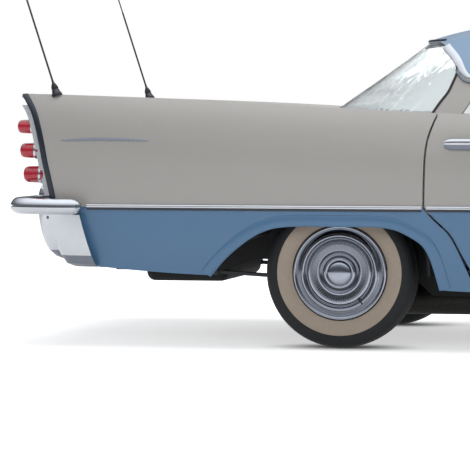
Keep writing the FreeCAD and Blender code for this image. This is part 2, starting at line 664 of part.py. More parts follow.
CABIN = glasshouse(0.0).common(crown(0.0))
CABIN_INSIDE = glasshouse(size("pillar_depth")).common(crown(size("roof_skin")))
HEADER_Z = 0.921 * ROOF
LOW_Z = 0.85 * BELT
screen_prism = side_prism(
    [
        [(880.0, LOW_Z), (836.0, BELT - 30.0)],
        [(836.0, BELT - 30.0), (800.0, BELT + 40.0), (650.0, BELT + 222.0), (590.0, HEADER_Z - 24.0), (630.0, HEADER_Z)],
        [(630.0, HEADER_Z), (HALF_LENGTH, HEADER_Z)],
        [(HALF_LENGTH, HEADER_Z), (HALF_LENGTH, LOW_Z)],
        [(HALF_LENGTH, LOW_Z), (880.0, LOW_Z)],
    ],
    -WIDE, WIDE,
)
back_prism = side_prism(
    [
        [(-940.0, LOW_Z), (-935.0, BELT), (-873.0, BELT + 95.0), (-838.0, BELT + 190.0), (-850.0, BELT + 240.0),
         (-886.0, HEADER_Z - 26.0), (-920.0, HEADER_Z)],
        [(-920.0, HEADER_Z), (-HALF_LENGTH, HEADER_Z)],
        [(-HALF_LENGTH, HEADER_Z), (-HALF_LENGTH, LOW_Z)],
        [(-HALF_LENGTH, LOW_Z), (-940.0, LOW_Z)],
    ],
    -WIDE, WIDE,
)
side_prism_cut = side_prism(
    [
        [(790.0, LOW_Z), (770.0, BELT - 20.0)],
        [(770.0, BELT - 20.0), (740.0, BELT + 40.0), (600.0, BELT + 215.0), (540.0, HEADER_Z - 35.0), (480.0, HEADER_Z - 8.0)],
        [(480.0, HEADER_Z - 8.0), (-100.0, HEADER_Z), (-560.0, HEADER_Z - 8.0)],
        [(-560.0, HEADER_Z - 8.0), (-640.0, HEADER_Z - 40.0), (-737.0, BELT + 118.0), (-806.0, BELT)],
        [(-806.0, BELT), (-820.0, LOW_Z)],
        [(-820.0, LOW_Z), (790.0, LOW_Z)],
    ],
    -WIDE, WIDE,
)
roof = CABIN.cut(CABIN_INSIDE).cut(screen_prism).cut(back_prism).cut(side_prism_cut).cut(OUTER)
over_door = body_loft(0.0, 0.0, -GAP).common(block(REAR_EDGE + 53.0 - GAP, SPLIT, -WIDE, WIDE, 0.0, TALL))
roof = roof.cut(over_door)
GLASS_IN = 12.0
pane = glasshouse(GLASS_IN).common(crown(GLASS_IN)).cut(
    glasshouse(GLASS_IN + size("glass_thickness")).common(crown(GLASS_IN + size("glass_thickness")))).cut(OUTER)


windscreen = biggest(pane.common(screen_prism))
rear_window = biggest(pane.common(back_prism))
cabin_hole = glasshouse(size("pillar_depth"))

# Bonnet and boot lid outlines in plan
HOOD_REAR, HOOD_FRONT = size("hood_rear_x"), size("hood_front_x")
HOOD_HALF = size("hood_half_width")
HOOD_BOW = 130.0
HOOD_TAPER = 70.0
TRUNK_FRONT, TRUNK_LOW = size("trunk_front_x"), size("trunk_low_z")
TRUNK_HALF = size("trunk_half_width")


def hood_runs(grow):
    wide, narrow = HOOD_HALF + grow, HOOD_HALF - HOOD_TAPER + grow
    rear, front = HOOD_REAR - grow, HOOD_FRONT + grow
    return [
        [(rear, -wide), (rear + 0.75 * HOOD_BOW, -wide / 2), (rear + HOOD_BOW, 0.0),
         (rear + 0.75 * HOOD_BOW, wide / 2), (rear, wide)],
        [(rear, wide), (front, narrow)],
        [(front, narrow), (front, -narrow)],
        [(front, -narrow), (rear, -wide)],
    ]


def trunk_runs(grow):
    back = -HALF_LENGTH - BEYOND
    return corners([
        (TRUNK_FRONT + grow, -TRUNK_HALF - grow), (TRUNK_FRONT + grow, TRUNK_HALF + grow),
        (back, TRUNK_HALF + grow), (back, -TRUNK_HALF - grow)])


TOP_ONLY = 0.74 * BELT
hood = BODY.common(plan_prism(hood_runs(0.0), TOP_ONLY, TALL))
trunk_lid = BODY.common(plan_prism(trunk_runs(0.0), TRUNK_LOW, TALL))
hood_hole = plan_prism(hood_runs(GAP), TOP_ONLY, TALL)
trunk_hole = plan_prism(trunk_runs(GAP), TRUNK_LOW - GAP, TALL)


panels = BODY.cut(arch_cut).cut(door_holes).cut(hood_hole).cut(trunk_hole).cut(cabin_hole)
FRONT_PART_X = FRONT_EDGE + GAP
front_part = panels.common(block(FRONT_PART_X, HALF_LENGTH, -WIDE, WIDE, 0.0, TALL))
rear_part = panels.common(block(-HALF_LENGTH, SILL_REAR, -WIDE, WIDE, 0.0, TALL))
HOOD_EDGE = HOOD_HALF + GAP
front_middle = plan_prism(
    corners([
        (0.0, -HOOD_EDGE), (HOOD_REAR - GAP, -HOOD_EDGE), (HOOD_FRONT + GAP, HOOD_TAPER - HOOD_EDGE),
        (HALF_LENGTH, HOOD_TAPER - HOOD_EDGE), (HALF_LENGTH, HOOD_EDGE - HOOD_TAPER),
        (HOOD_FRONT + GAP, HOOD_EDGE - HOOD_TAPER), (HOOD_REAR - GAP, HOOD_EDGE), (0.0, HOOD_EDGE)]),
    0.0, TALL)
rear_middle = block(-HALF_LENGTH, 0.0, -TRUNK_HALF - GAP, TRUNK_HALF + GAP, 0.0, TALL)
LEFT = block(-HALF_LENGTH, HALF_LENGTH, 0.0, WIDE, 0.0, TALL)
fender_left = front_part.cut(front_middle).common(LEFT)
quarter_skin = rear_part.cut(rear_middle).common(LEFT)
JAMB_LOW = size("arch_top") + 26.0
jamb = thick_wall.common(block(REAR_EDGE - 40.0, REAR_EDGE - GAP - 8.0, POST_Y, WIDE, JAMB_LOW, POST_TOP)).fuse(
    post(REAR_EDGE - GAP - 9.0, REAR_EDGE + 136.0, TRIM_Z + 30.0, POST_TOP))
quarter_left = quarter_skin.fuse(jamb).removeSplitter()
middle = front_part.common(front_middle)
cowl = middle.common(block(0.0, 0.5 * HALF_LENGTH, -WIDE, WIDE, 0.0, TALL))
nose_panel = middle.common(block(0.5 * HALF_LENGTH, HALF_LENGTH, -WIDE, WIDE, 0.0, TALL))
rear_panels = rear_part.common(rear_middle)

# Hinge straps of the boot lid, under the panel ahead of it and the lid's own front edge
STRAP_Y, STRAP_WIDE = 400.0, 40.0
STRAP_REAR, STRAP_FRONT = TRUNK_FRONT - 60.0, TRUNK_FRONT + 42.0
STRAP_LOW, STRAP_SEAT = 0.928 * BELT, 0.957 * BELT
strap = block(STRAP_REAR, STRAP_FRONT, STRAP_Y, STRAP_Y + STRAP_WIDE, STRAP_LOW, BELT).common(
    body_loft(SKIN, -OPEN_BELOW, SKIN + SEAT_GAP)).fuse(
    block(TRUNK_FRONT + GAP + 2.0, STRAP_FRONT, STRAP_Y, STRAP_Y + STRAP_WIDE, STRAP_LOW, STRAP_SEAT))
rear_panels = rear_panels.multiFuse(both(strap).Solids)


# Frame rails and floor share one side-view line: the rails' top is the floor's underside
RAIL_H, RAIL_W = size("rail_height"), size("rail_width")
RAIL_Y, FRONT_RAIL_Y = size("rail_spread"), size("rail_spread_front")
FIREWALL_X = size("firewall_x")
TAIL_FRAME_X = size("tail_frame_x")
UNDER_FLOOR = FLOOR - SHEET
KICK_Z, BOOT_Z, FRONT_KICK_Z = size("kick_up_height"), size("boot_floor_height"), size("front_rail_top")
KICK_START, KICK_END, KICK_FALL, BOOT_START = -950.0, -1150.0, -1620.0, -1900.0
FLOOR_LINE = [
    (FIREWALL_X, UNDER_FLOOR), (KICK_START, UNDER_FLOOR), (KICK_END, KICK_Z), (KICK_FALL, KICK_Z),
    (BOOT_START, BOOT_Z), (TAIL_FRAME_X, BOOT_Z)]
TORQUE_BOX_X, FRONT_BEND, FRONT_BEND_END, NOSE_FRAME_X = 850.0, 1500.0, 1700.0, 2500.0
FRONT_LINE = [
    (TORQUE_BOX_X, UNDER_FLOOR), (FRONT_BEND, UNDER_FLOOR), (FRONT_BEND_END, FRONT_KICK_Z),
    (NOSE_FRAME_X, FRONT_KICK_Z)]


def ribbon(line, low, high):
    """The side-view outline between two heights above a line."""
    under = [(x, z + low) for x, z in line]
    over = [(x, z + high) for x, z in reversed(line)]
    return corners(under + over)


def rail(line, centre_y):
    return side_prism(ribbon(line, -RAIL_H, 0.0), centre_y - RAIL_W / 2, centre_y + RAIL_W / 2)


RAIL_IN, RAIL_OUT = RAIL_Y - RAIL_W / 2, RAIL_Y + RAIL_W / 2
FRONT_IN, FRONT_OUT = FRONT_RAIL_Y - RAIL_W / 2, FRONT_RAIL_Y + RAIL_W / 2
RAIL_LOW = UNDER_FLOOR - RAIL_H
torque_box = block(TORQUE_BOX_X, FIREWALL_X, FRONT_OUT, RAIL_IN, RAIL_LOW, RAIL_LOW + RAIL_H)
frame_rails = both(fused([rail(FLOOR_LINE, RAIL_Y), rail(FRONT_LINE, FRONT_RAIL_Y), torque_box]))

# Cross-members, square to the rails and standing clear of the rails' lifting faces
rail_low = "floor_top - floor_sheet - rail_height"
rail_inside = "rail_spread - rail_width / 2"
front_inside = "rail_spread_front - rail_width / 2"
front_axle = "rear_overhang + wheelbase - overall_length / 2"
rear_axle_x = "rear_overhang - overall_length / 2"


def cross_member(name, rear_x, depth, half, low, high):
    return solid_box(name, rear_x, "%s + %s" % (rear_x, depth), "-(%s)" % half, half, low, high)


cross_members = grouped("cross_members", [
    cross_member("middle_cross", "middle_cross_x", "middle_cross_depth", rail_inside,
                 rail_low + " + cross_lift", rail_low + " + middle_cross_top"),
    cross_member("gearbox_cross", "gearbox_cross_x", "gearbox_cross_depth", rail_inside,
                 rail_low + " + cross_lift", rail_low + " + gearbox_cross_top"),
    cross_member("axle_cross", front_axle + " - axle_cross_depth / 2", "axle_cross_depth", front_inside,
                 "axle_cross_low", "axle_cross_high"),
    cross_member("nose_cross", "nose_cross_x", "nose_cross_depth", front_inside,
                 "front_rail_top - rail_height", "front_rail_top"),
    cross_member("tail_cross", "tail_frame_x", "tail_cross_depth", rail_inside,
                 "boot_floor_height - rail_height", "boot_floor_height"),
])

# Cabin floor, transmission tunnel, firewall, boot floor, rear bulkhead and wheelhouses
TUNNEL_HALF, TUNNEL_TOP = size("tunnel_half_width"), size("tunnel_top")
NARROW_HALF = size("floor_narrow_half")
TUNNEL_MOUTH, TUNNEL_TAIL = KICK_START - 80.0, KICK_END + 60.0
BULKHEAD_X = size("bulkhead_x")
over_floor = side_prism(
    corners([(HALF_LENGTH, UNDER_FLOOR), *FLOOR_LINE, (-HALF_LENGTH, BOOT_Z), (-HALF_LENGTH, TALL), (HALF_LENGTH, TALL)]),
    -WIDE, WIDE)
under_top = side_prism(
    corners([(HALF_LENGTH, FLOOR), *[(x, z + SHEET) for x, z in FLOOR_LINE], (-HALF_LENGTH, BOOT_Z + SHEET),
             (-HALF_LENGTH, 0.0), (HALF_LENGTH, 0.0)]),
    -WIDE, WIDE)
ahead_of_bulkhead = block(BULKHEAD_X, HALF_LENGTH, -WIDE, WIDE, 0.0, TALL)
behind_bulkhead = block(-HALF_LENGTH, BULKHEAD_X, -WIDE, WIDE, 0.0, TALL)
floor_mid = side_prism(ribbon(FLOOR_LINE, 0.0, SHEET), -NARROW_HALF, NARROW_HALF)
tunnel_bore = block(TUNNEL_MOUTH, FIREWALL_X + SHEET, SHEET - TUNNEL_HALF, TUNNEL_HALF - SHEET, 0.0, TUNNEL_TOP - SHEET)
WHEELHOUSE_R, FRONT_HOUSE_R = size("rear_house_radius"), size("front_house_radius")
HOUSE_OUT, FRONT_HOUSE_OUT = 890.0, 855.0
WHEELHOUSE_FIT = 0.3


def drum(centre_x, radius, low_y, high_y):
    return Part.makeCylinder(radius, high_y - low_y, Vector(centre_x, low_y, TYRE_R), Vector(0, 1, 0))


def wheelhouse(centre_x, radius, wall_y, out_y):
    """A cup over a wheel: a round wall with its flat side inboard, open outboard."""
    return drum(centre_x, radius, wall_y, out_y).cut(drum(centre_x, radius - SHEET, wall_y + SHEET, WIDE))


rear_drum = drum(REAR_AXLE_X, WHEELHOUSE_R + WHEELHOUSE_FIT, 0.0, WIDE)
cabin_side = block(KICK_START, FIREWALL_X, NARROW_HALF, FLOOR_HALF + SHEET, UNDER_FLOOR, FLOOR).cut(rear_drum)
lip = block(SILL_REAR, FRONT_EDGE, FLOOR_HALF, FLOOR_HALF + SHEET, SILL_TOP, UNDER_FLOOR)
cabin_floor = fused([floor_mid.common(ahead_of_bulkhead).cut(tunnel_bore), *both(cabin_side).Solids, *both(lip).Solids])
tunnel = block(TUNNEL_TAIL, FIREWALL_X, -TUNNEL_HALF, TUNNEL_HALF, FLOOR, TUNNEL_TOP).cut(
    block(TUNNEL_TAIL, FIREWALL_X, SHEET - TUNNEL_HALF, TUNNEL_HALF - SHEET, 0.0, TUNNEL_TOP - SHEET)).cut(under_top)
tunnel = biggest(tunnel)
FIREWALL_HALF, FIREWALL_TOP = 700.0, 930.0
firewall = block(FIREWALL_X, FIREWALL_X + SHEET, -FIREWALL_HALF, FIREWALL_HALF, UNDER_FLOOR, FIREWALL_TOP).cut(tunnel_bore)
boot_side = side_prism(ribbon(FLOOR_LINE, 0.0, SHEET), NARROW_HALF, FLOOR_HALF).common(behind_bulkhead).cut(rear_drum)
boot_floor = fused([floor_mid.common(behind_bulkhead), *both(boot_side).Solids])
SHELF_FRONT, SHELF_REAR, SHELF_HALF = -1300.0, -1600.0, 700.0
SHELF_Z = 915.0
bulkhead = block(BULKHEAD_X, BULKHEAD_X + SHEET, -NARROW_HALF, NARROW_HALF, KICK_Z + SHEET, SHELF_Z)
shelf = block(SHELF_REAR, SHELF_FRONT, -SHELF_HALF, SHELF_HALF, SHELF_Z, SHELF_Z + SHEET)
rear_bulkhead = fused([bulkhead, shelf])
rear_wheelhouses = both(wheelhouse(REAR_AXLE_X, WHEELHOUSE_R, NARROW_HALF, HOUSE_OUT).common(over_floor))

# Inner fenders with the stops that the closed bonnet rests on
APRON_Y, APRON_LOW, APRON_TOP, APRON_FRONT = 440.0, 480.0, 860.0, 2440.0
apron = block(FIREWALL_X + SHEET, APRON_FRONT, APRON_Y, APRON_Y + SHEET, APRON_LOW, APRON_TOP)
front_house = wheelhouse(FRONT_AXLE_X, FRONT_HOUSE_R, APRON_Y, FRONT_HOUSE_OUT).common(
    block(0.0, HALF_LENGTH, 0.0, WIDE, APRON_LOW, TALL))
STOP_R, STOP_PLACES = 6.0, (1300.0, 2250.0)
under_panels = body_loft(SKIN, -OPEN_BELOW, SKIN + SEAT_GAP)
stops = [rod(Vector(x, APRON_Y + STOP_R, APRON_TOP - STOP_R), Vector(x, APRON_Y + STOP_R, BELT), STOP_R).common(under_panels)
         for x in STOP_PLACES]
inner_fenders = both(fused([apron, front_house, *stops]))

# Driveline: engine, gearbox and driveshaft in one piece
powertrain = joined("powertrain", [
    solid_box("engine", "engine_rear_x", "engine_rear_x + engine_length", "-engine_half_width", "engine_half_width",
              "axle_cross_high", "engine_top"),
    solid_box("gearbox", "gearbox_cross_x + gearbox_cross_depth", "engine_rear_x", "-gearbox_half_width",
              "gearbox_half_width", rail_low + " + gearbox_cross_top + 1", "gearbox_top"),
    solid_box("gearbox_tail", "gearbox_cross_x", "gearbox_cross_x + gearbox_cross_depth", "-gearbox_tail_half",
              "gearbox_tail_half", rail_low + " + gearbox_cross_top", "gearbox_top - 10"),
    solid_rod("driveshaft", Vector(size("gearbox_cross_x"), 0, TYRE_R - 2.0),
              Vector(REAR_AXLE_X + size("banjo_radius"), 0, TYRE_R), "driveshaft_radius"),
])

# Rear axle with its leaf springs
HUB_R = size("hub_radius")
HUB_FIT = size("hub_clearance")
SHAFT_END = size("shaft_end")


def across_car(name, half_length, radius):
    """A shaft on the rear wheels' line, half to each side."""
    return solid_rod(name, Vector(REAR_AXLE_X, -half_length, TYRE_R), Vector(REAR_AXLE_X, half_length, TYRE_R), radius)


banjo = doc.addObject("Part::Sphere", "banjo")
banjo.setExpression("Radius", cells("banjo_radius"))
banjo.setExpression(".Placement.Base.x", cells(rear_axle_x))
banjo.setExpression(".Placement.Base.z", cells("tyre_radius"))
axle_casing = joined("axle_casing", [
    across_car("axle_tube_piece", size("axle_tube_end"), "axle_tube"), banjo, across_car("stub_shafts", SHAFT_END, "hub_radius")])
SPRING_Y, SPRING_HALF, SPRING_T = 470.0, 32.0, 14.0
EYE_FRONT, EYE_REAR = -780.0, -1950.0
SPRING = [
    (EYE_FRONT, TYRE_R - 24.0), (REAR_AXLE_X + 272.0, TYRE_R - 36.0), (REAR_AXLE_X, TYRE_R - size("axle_tube")),
    (REAR_AXLE_X - 318.0, TYRE_R - 30.0), (EYE_REAR, TYRE_R - 12.0)]
leaf_under = [(x, z - SPRING_T) for x, z in reversed(SPRING)]
leaf = side_prism(
    [SPRING, [SPRING[-1], leaf_under[0]], leaf_under, [leaf_under[-1], SPRING[0]]],
    SPRING_Y - SPRING_HALF, SPRING_Y + SPRING_HALF)
STACK_HALF, STACK_LOW, STACK_TOP = 200.0, 252.0, 280.0
stack = block(REAR_AXLE_X - STACK_HALF, REAR_AXLE_X + STACK_HALF, SPRING_Y - SPRING_HALF, SPRING_Y + SPRING_HALF,
              STACK_LOW, STACK_TOP)
EYE_HALF, FRONT_EYE_LOW, FRONT_EYE_TOP, SHACKLE_LOW, SHACKLE_TOP = 20.0, 270.0, 312.0, 296.0, 370.0
hangers = [
    block(EYE_FRONT - EYE_HALF, EYE_FRONT + EYE_HALF, SPRING_Y - SPRING_HALF, RAIL_IN, FRONT_EYE_LOW, FRONT_EYE_TOP),
    block(EYE_REAR - EYE_HALF, EYE_REAR + EYE_HALF, SPRING_Y - SPRING_HALF, RAIL_IN, SHACKLE_LOW, SHACKLE_TOP)]
leaf_springs = both(fused([leaf, stack, *hangers]))

# Exhaust under the right-hand side, hung from the cross-members
PIPE_Y, PIPE_R, PIPE_DROP = -260.0, size("exhaust_radius"), 31.0
EXHAUST_Z = RAIL_LOW - PIPE_DROP
CROSS_UNDER = RAIL_LOW + size("cross_lift")
PIPE_END, PIPE_FRONT, MANIFOLD_X = -700.0, 1500.0, 1620.0
HANGER_HALF = 10.0


def exhaust_hanger(name, centre_x):
    return solid_bar(name, centre_x - HANGER_HALF, centre_x + HANGER_HALF, PIPE_Y - HANGER_HALF, PIPE_Y + HANGER_HALF,
                     EXHAUST_Z, CROSS_UNDER)


exhaust = joined("exhaust", [
    solid_rod("tail_pipe", Vector(PIPE_FRONT, PIPE_Y, EXHAUST_Z), Vector(PIPE_END, PIPE_Y, EXHAUST_Z), "exhaust_radius"),
    solid_rod("silencer", Vector(PIPE_END, PIPE_Y, EXHAUST_Z),
              Vector(PIPE_END - size("silencer_length"), PIPE_Y, EXHAUST_Z), "silencer_radius"),
    solid_rod("downpipe", Vector(PIPE_FRONT, PIPE_Y, EXHAUST_Z),
              Vector(MANIFOLD_X, PIPE_Y + 20.0, size("axle_cross_high") + 90.0), "exhaust_radius"),
    exhaust_hanger("rear_hanger", size("middle_cross_x") + size("middle_cross_depth") / 2),
    exhaust_hanger("front_hanger", size("gearbox_cross_x") + size("gearbox_cross_depth") / 2),
])

# Fuel tank under the boot floor, and the radiator on the nose cross-member
tank_box = solid_box("tank_box", "tank_rear_x", "tank_rear_x + tank_length", "-tank_half_width", "tank_half_width",
                     "tank_low", "boot_floor_height - hub_clearance")
fuel_tank = doc.addObject("Part::Fillet", "fuel_tank")
fuel_tank.Base = tank_box
TANK_ROUND = size("tank_rounding")
fuel_tank.Edges = [(number + 1, TANK_ROUND, TANK_ROUND) for number in range(12)]
radiator = solid_box("radiator", "nose_cross_x + 10", "nose_cross_x + 10 + radiator_depth", "-radiator_half_width",
                     "radiator_half_width", "front_rail_top", "radiator_top")

# Front suspension arms on the frame, and the knuckles that carry the front wheels
KINGPIN = size("kingpin_y")
PIN_R = size("kingpin_radius")
POST_LOW, POST_HIGH = size("knuckle_low"), size("knuckle_high")
ARM_T, ARM_GAP = 22.0, 1.0
ARM_NARROW, ARM_FOOT, ARM_IN = 24.0, 90.0, 300.0


def arm(z0, z1):
    """A plate that narrows outwards to the bored boss of the kingpin."""
    plate = plan_prism(corners([
        (FRONT_AXLE_X - ARM_FOOT, ARM_IN), (FRONT_AXLE_X + ARM_FOOT, ARM_IN),
        (FRONT_AXLE_X + ARM_NARROW, KINGPIN), (FRONT_AXLE_X - ARM_NARROW, KINGPIN)]), z0, z1)
    boss = Part.makeCylinder(ARM_NARROW, z1 - z0, Vector(FRONT_AXLE_X, KINGPIN, z0))
    bore = Part.makeCylinder(PIN_R + HUB_FIT, TALL, Vector(FRONT_AXLE_X, KINGPIN, 0))
    return plate.fuse(boss).cut(bore)


arms = arm(POST_LOW - ARM_GAP - ARM_T, POST_LOW - ARM_GAP).fuse(arm(POST_HIGH + ARM_GAP, POST_HIGH + ARM_GAP + ARM_T))
towers = block(FRONT_AXLE_X - ARM_FOOT, FRONT_AXLE_X + ARM_FOOT, ARM_IN, FRONT_OUT, FRONT_KICK_Z, POST_HIGH + ARM_GAP).fuse(
    block(FRONT_AXLE_X - ARM_FOOT, FRONT_AXLE_X + ARM_FOOT, ARM_IN, FRONT_IN, POST_LOW - ARM_GAP, size("axle_cross_low")))
front_suspension = both(arms.fuse(towers).removeSplitter())


def knuckle(name, side):
    """The upright on its kingpin, with the stub shaft of the front wheel."""
    foot = Vector(FRONT_AXLE_X, side * KINGPIN, POST_LOW)
    head = Vector(FRONT_AXLE_X, side * KINGPIN, POST_HIGH)
    pin = Vector(0, 0, ARM_T + ARM_GAP)
    return joined(name, [
        solid_rod(name + "_upright", foot, head, "knuckle_radius"),
        solid_rod(name + "_pin", foot - pin, head + pin, "kingpin_radius"),
        solid_rod(name + "_shaft", Vector(FRONT_AXLE_X, side * KINGPIN, TYRE_R),
                  Vector(FRONT_AXLE_X, side * SHAFT_END, TYRE_R), "hub_radius"),
    ])


# Wheels and tyres: outlines of radius against distance out along the axle, in shares of the tyre's own sizes
RIM_R = size("rim_radius")
COVER_R = size("cover_radius")
TYRE_SHARES = [(0.0, 0.66), (0.23, 0.88), (0.55, 1.0), (0.89, 0.88), (1.0, 0.60)]
REAR_Y, FRONT_Y = size("rear_track") / 2, size("front_track") / 2
COVER_SHARES = [(1.0, 0.0), (0.82, 0.30), (0.55, 0.04), (0.30, 0.65), (0.0, 1.0)]
DRUM_R, WELL_R, DISC_Y, COVER_Y = 145.0, 165.0, 8.0, 89.0


def turned_body(name, points, centre):
    """A body turned about the axle line from an outline of radius and distance out."""
    body = doc.addObject("PartDesign::Body", name)
    profile = body.newObject("Sketcher::SketchObject", name + "_profile")
    plane = [item for item in body.Origin.OriginFeatures if item.Role == "XY_Plane"][0]
    profile.AttachmentSupport = (plane, [""])
    profile.MapMode = "FlatFace"
    ring = points + [points[0]]
    profile.addGeometry([Part.LineSegment(Vector(*ring[i], 0), Vector(*ring[i + 1], 0)) for i in range(len(points))])
    turn = body.newObject("PartDesign::Revolution", name + "_turn")
    turn.Profile = profile
    turn.ReferenceAxis = (profile, ["V_Axis"])
    turn.Angle = 360.0
    profile.Visibility = False
    body.Placement.Base = centre
    return body


def tyre_outline():
    half, seat = TYRE_W / 2, RIM_R + HUB_FIT
    side = [(seat + r * (TYRE_R - seat), y * half) for r, y in TYRE_SHARES]
    return side + [(r, -y) for r, y in reversed(side)]


def wheel_outline(side):
    """Rim, disc, brake drum and full cover."""
    rim = [(HUB_R + HUB_FIT, -96.0), (DRUM_R, -96.0), (DRUM_R, -10.0), (WELL_R, -10.0), (WELL_R, -70.0), (RIM_R, -70.0),
           (RIM_R, 66.0), (RIM_R + 4.0, 84.0), (COVER_R, 84.0)]
    cover = [(r * COVER_R, COVER_Y + out * size("cover_dome")) for r, out in COVER_SHARES]
    inside = [(0.0, 76.0), (150.0, 76.0), (150.0, DISC_Y), (HUB_R + 18.0, DISC_Y), (HUB_R + HUB_FIT, -40.0)]
    return [(r, y * side) for r, y in rim + cover + inside]


# Bumpers: blades with a round face and a flat back, lofted along plan-view paths
def blade_section(centre, along, half_high, depth):
    """The closed section square to the bumper's run: an arc for the face and a straight back."""
    out = Vector(along.y, -along.x, 0).normalize() * depth
    rise = Vector(0, 0, half_high)
    low, high = centre - rise, centre + rise
    return Part.Wire([Part.Arc(low, centre + out, high).toShape(), Part.makeLine(high, low)])


def bumper_bar(path, centre_z, half_high, depth, end_share):
    """A bar lofted along its plan-view path, from one end round to the other."""
    whole = path + [(x, -y) for x, y in reversed(path[:-1])]
    last = len(whole) - 1
    sections = []
    for i, (x, y) in enumerate(whole):
        before, after = whole[max(i - 1, 0)], whole[min(i + 1, last)]
        along = Vector(after[0] - before[0], after[1] - before[1], 0)
        if x > 0:
            along = -along
        share = end_share if i in (0, last) else 1.0
        sections.append(blade_section(Vector(x, y, centre_z), along, half_high * share, depth * share))
    return Part.makeLoft(sections, True)


REAR_PATH_SHARES = [(-0.874, 0.982), (-0.909, 0.979), (-0.955, 0.942), (-0.980, 0.800), (-0.9865, 0.420), (-0.9885, 0.0)]
FRONT_PATH_SHARES = [(0.871, 0.979), (0.925, 0.957), (0.966, 0.836), (0.983, 0.600), (0.9865, 0.300), (0.9885, 0.0)]


def scaled(shares):
    return [(x * HALF_LENGTH, y * HALF_WIDTH) for x, y in shares]


REAR_BLADE_Z, REAR_BLADE_HALF, REAR_BLADE_OUT = size("rear_bumper_height"), 37.0, 32.0
FRONT_BLADE_Z, FRONT_BLADE_HALF, FRONT_BLADE_OUT = size("front_bumper_height"), 58.0, 32.0
rear_bar = bumper_bar(scaled(REAR_PATH_SHARES), REAR_BLADE_Z, REAR_BLADE_HALF, REAR_BLADE_OUT, 0.25)
front_bar = bumper_bar(scaled(FRONT_PATH_SHARES), FRONT_BLADE_Z, FRONT_BLADE_HALF, FRONT_BLADE_OUT, 0.30)
VALANCE_SHARES = [(-0.900, 0.937), (-0.9286, 0.886), (-0.9414, 0.765), (-0.9464, 0.403), (-0.9482, 0.0)]
VALANCE_T, VALANCE_LOW = 16.0, 390.0
valance_out = scaled(VALANCE_SHARES)
valance_out += [(x, -y) for x, y in reversed(valance_out[:-1])]
valance_in = [(x + VALANCE_T, y) for x, y in reversed(valance_out)]
valance = plan_prism(
    [valance_out, [valance_out[-1], valance_in[0]], valance_in, [valance_in[-1], valance_out[0]]],
    VALANCE_LOW, REAR_BLADE_Z - REAR_BLADE_HALF + SEAT_GAP)
VALANCE_TRIM_SHARES = [(-0.9643, 0.386), (-0.9143, 0.386), (-0.9429, 0.475), (-0.9643, 0.554)]
valance = valance.cut(side_prism(corners([(x * HALF_LENGTH, z * BELT) for x, z in VALANCE_TRIM_SHARES]), -WIDE, WIDE))
IRON_T, IRON_GAP = 32.0, 0.5
REAR_IRON_Z, FRONT_IRON_Z = 312.0, 290.0
REAR_IRON_X, REAR_IRON_TOP = -2640.0, REAR_BLADE_Z + 15.0
rear_irons = both(fused([
    block(REAR_IRON_X, TAIL_FRAME_X - IRON_GAP, RAIL_IN, RAIL_OUT, REAR_IRON_Z, REAR_IRON_Z + IRON_T),
    block(REAR_IRON_X, REAR_IRON_X + IRON_T, RAIL_IN, RAIL_OUT, REAR_IRON_Z, REAR_IRON_TOP),
    block(REAR_IRON_X - 132.0, REAR_IRON_X + IRON_T, RAIL_IN, RAIL_OUT, REAR_IRON_TOP - IRON_T, REAR_IRON_TOP)]))
FRONT_IRON_X = 2772.0
front_irons = both(fused([
    block(NOSE_FRAME_X + IRON_GAP, FRONT_IRON_X, FRONT_IN, FRONT_OUT, FRONT_IRON_Z, FRONT_IRON_Z + IRON_T),
    block(FRONT_IRON_X - 1.4 * IRON_T, FRONT_IRON_X, FRONT_IN, FRONT_OUT, FRONT_IRON_Z, FRONT_BLADE_Z + IRON_T)]))
rear_bumper = fused([rear_bar, *rear_irons.Solids, valance])
front_bumper = fused([front_bar, *front_irons.Solids])

# Grille
GRILLE_HALF, GRILLE_LOW, GRILLE_HIGH = size("grille_half_width"), size("grille_low"), size("grille_high")
GRILLE_BACK, GRILLE_FRONT, GRILLE_DEPTH = BROW_X - 110.0, BROW_X - 66.0, 60.0
BAR_R, BARS, POSTS, FRAME_T = 8.0, 4, 9, 12.0
grille_hole = block(GRILLE_BACK - GRILLE_DEPTH, HALF_LENGTH, -GRILLE_HALF, GRILLE_HALF, GRILLE_LOW, GRILLE_HIGH)
frame_out = block(GRILLE_BACK, GRILLE_FRONT, SEAT_GAP - GRILLE_HALF, GRILLE_HALF - SEAT_GAP,
                  GRILLE_LOW + SEAT_GAP, GRILLE_HIGH - SEAT_GAP)
frame_in = block(GRILLE_BACK - GRILLE_DEPTH, HALF_LENGTH, FRAME_T - GRILLE_HALF, GRILLE_HALF - FRAME_T,
                 GRILLE_LOW + FRAME_T, GRILLE_HIGH - FRAME_T)
bar_pitch = (GRILLE_HIGH - GRILLE_LOW) / (BARS + 1)
bar_x = (GRILLE_BACK + GRILLE_FRONT) / 2
bar_end = GRILLE_HALF - FRAME_T / 2
bars = [rod(Vector(bar_x, -bar_end, GRILLE_LOW + bar_pitch * (i + 1)),
            Vector(bar_x, bar_end, GRILLE_LOW + bar_pitch * (i + 1)), BAR_R) for i in range(BARS)]
post_pitch = 2 * GRILLE_HALF / (POSTS + 1)
posts = [rod(Vector(bar_x - BAR_R, post_pitch * (i + 1) - GRILLE_HALF, GRILLE_LOW + FRAME_T / 2),
             Vector(bar_x - BAR_R, post_pitch * (i + 1) - GRILLE_HALF, GRILLE_HIGH - FRAME_T / 2), BAR_R / 2)
         for i in range(POSTS)]
grille = fused([frame_out.cut(frame_in), *bars, *posts])
nose_panel = nose_panel.cut(grille_hole)


def turned_ahead(points, x, y, z):
    """A piece turned about a line along the car: points are distance ahead of x and radius."""
    runs = points if isinstance(points[0], list) else corners(points)
    wire = outline(runs, lambda along, radius: Vector(x + along, 0, radius))
    return Part.Face(wire).revolve(Vector(), Vector(1, 0, 0), 360).translated(Vector(0, y, z))


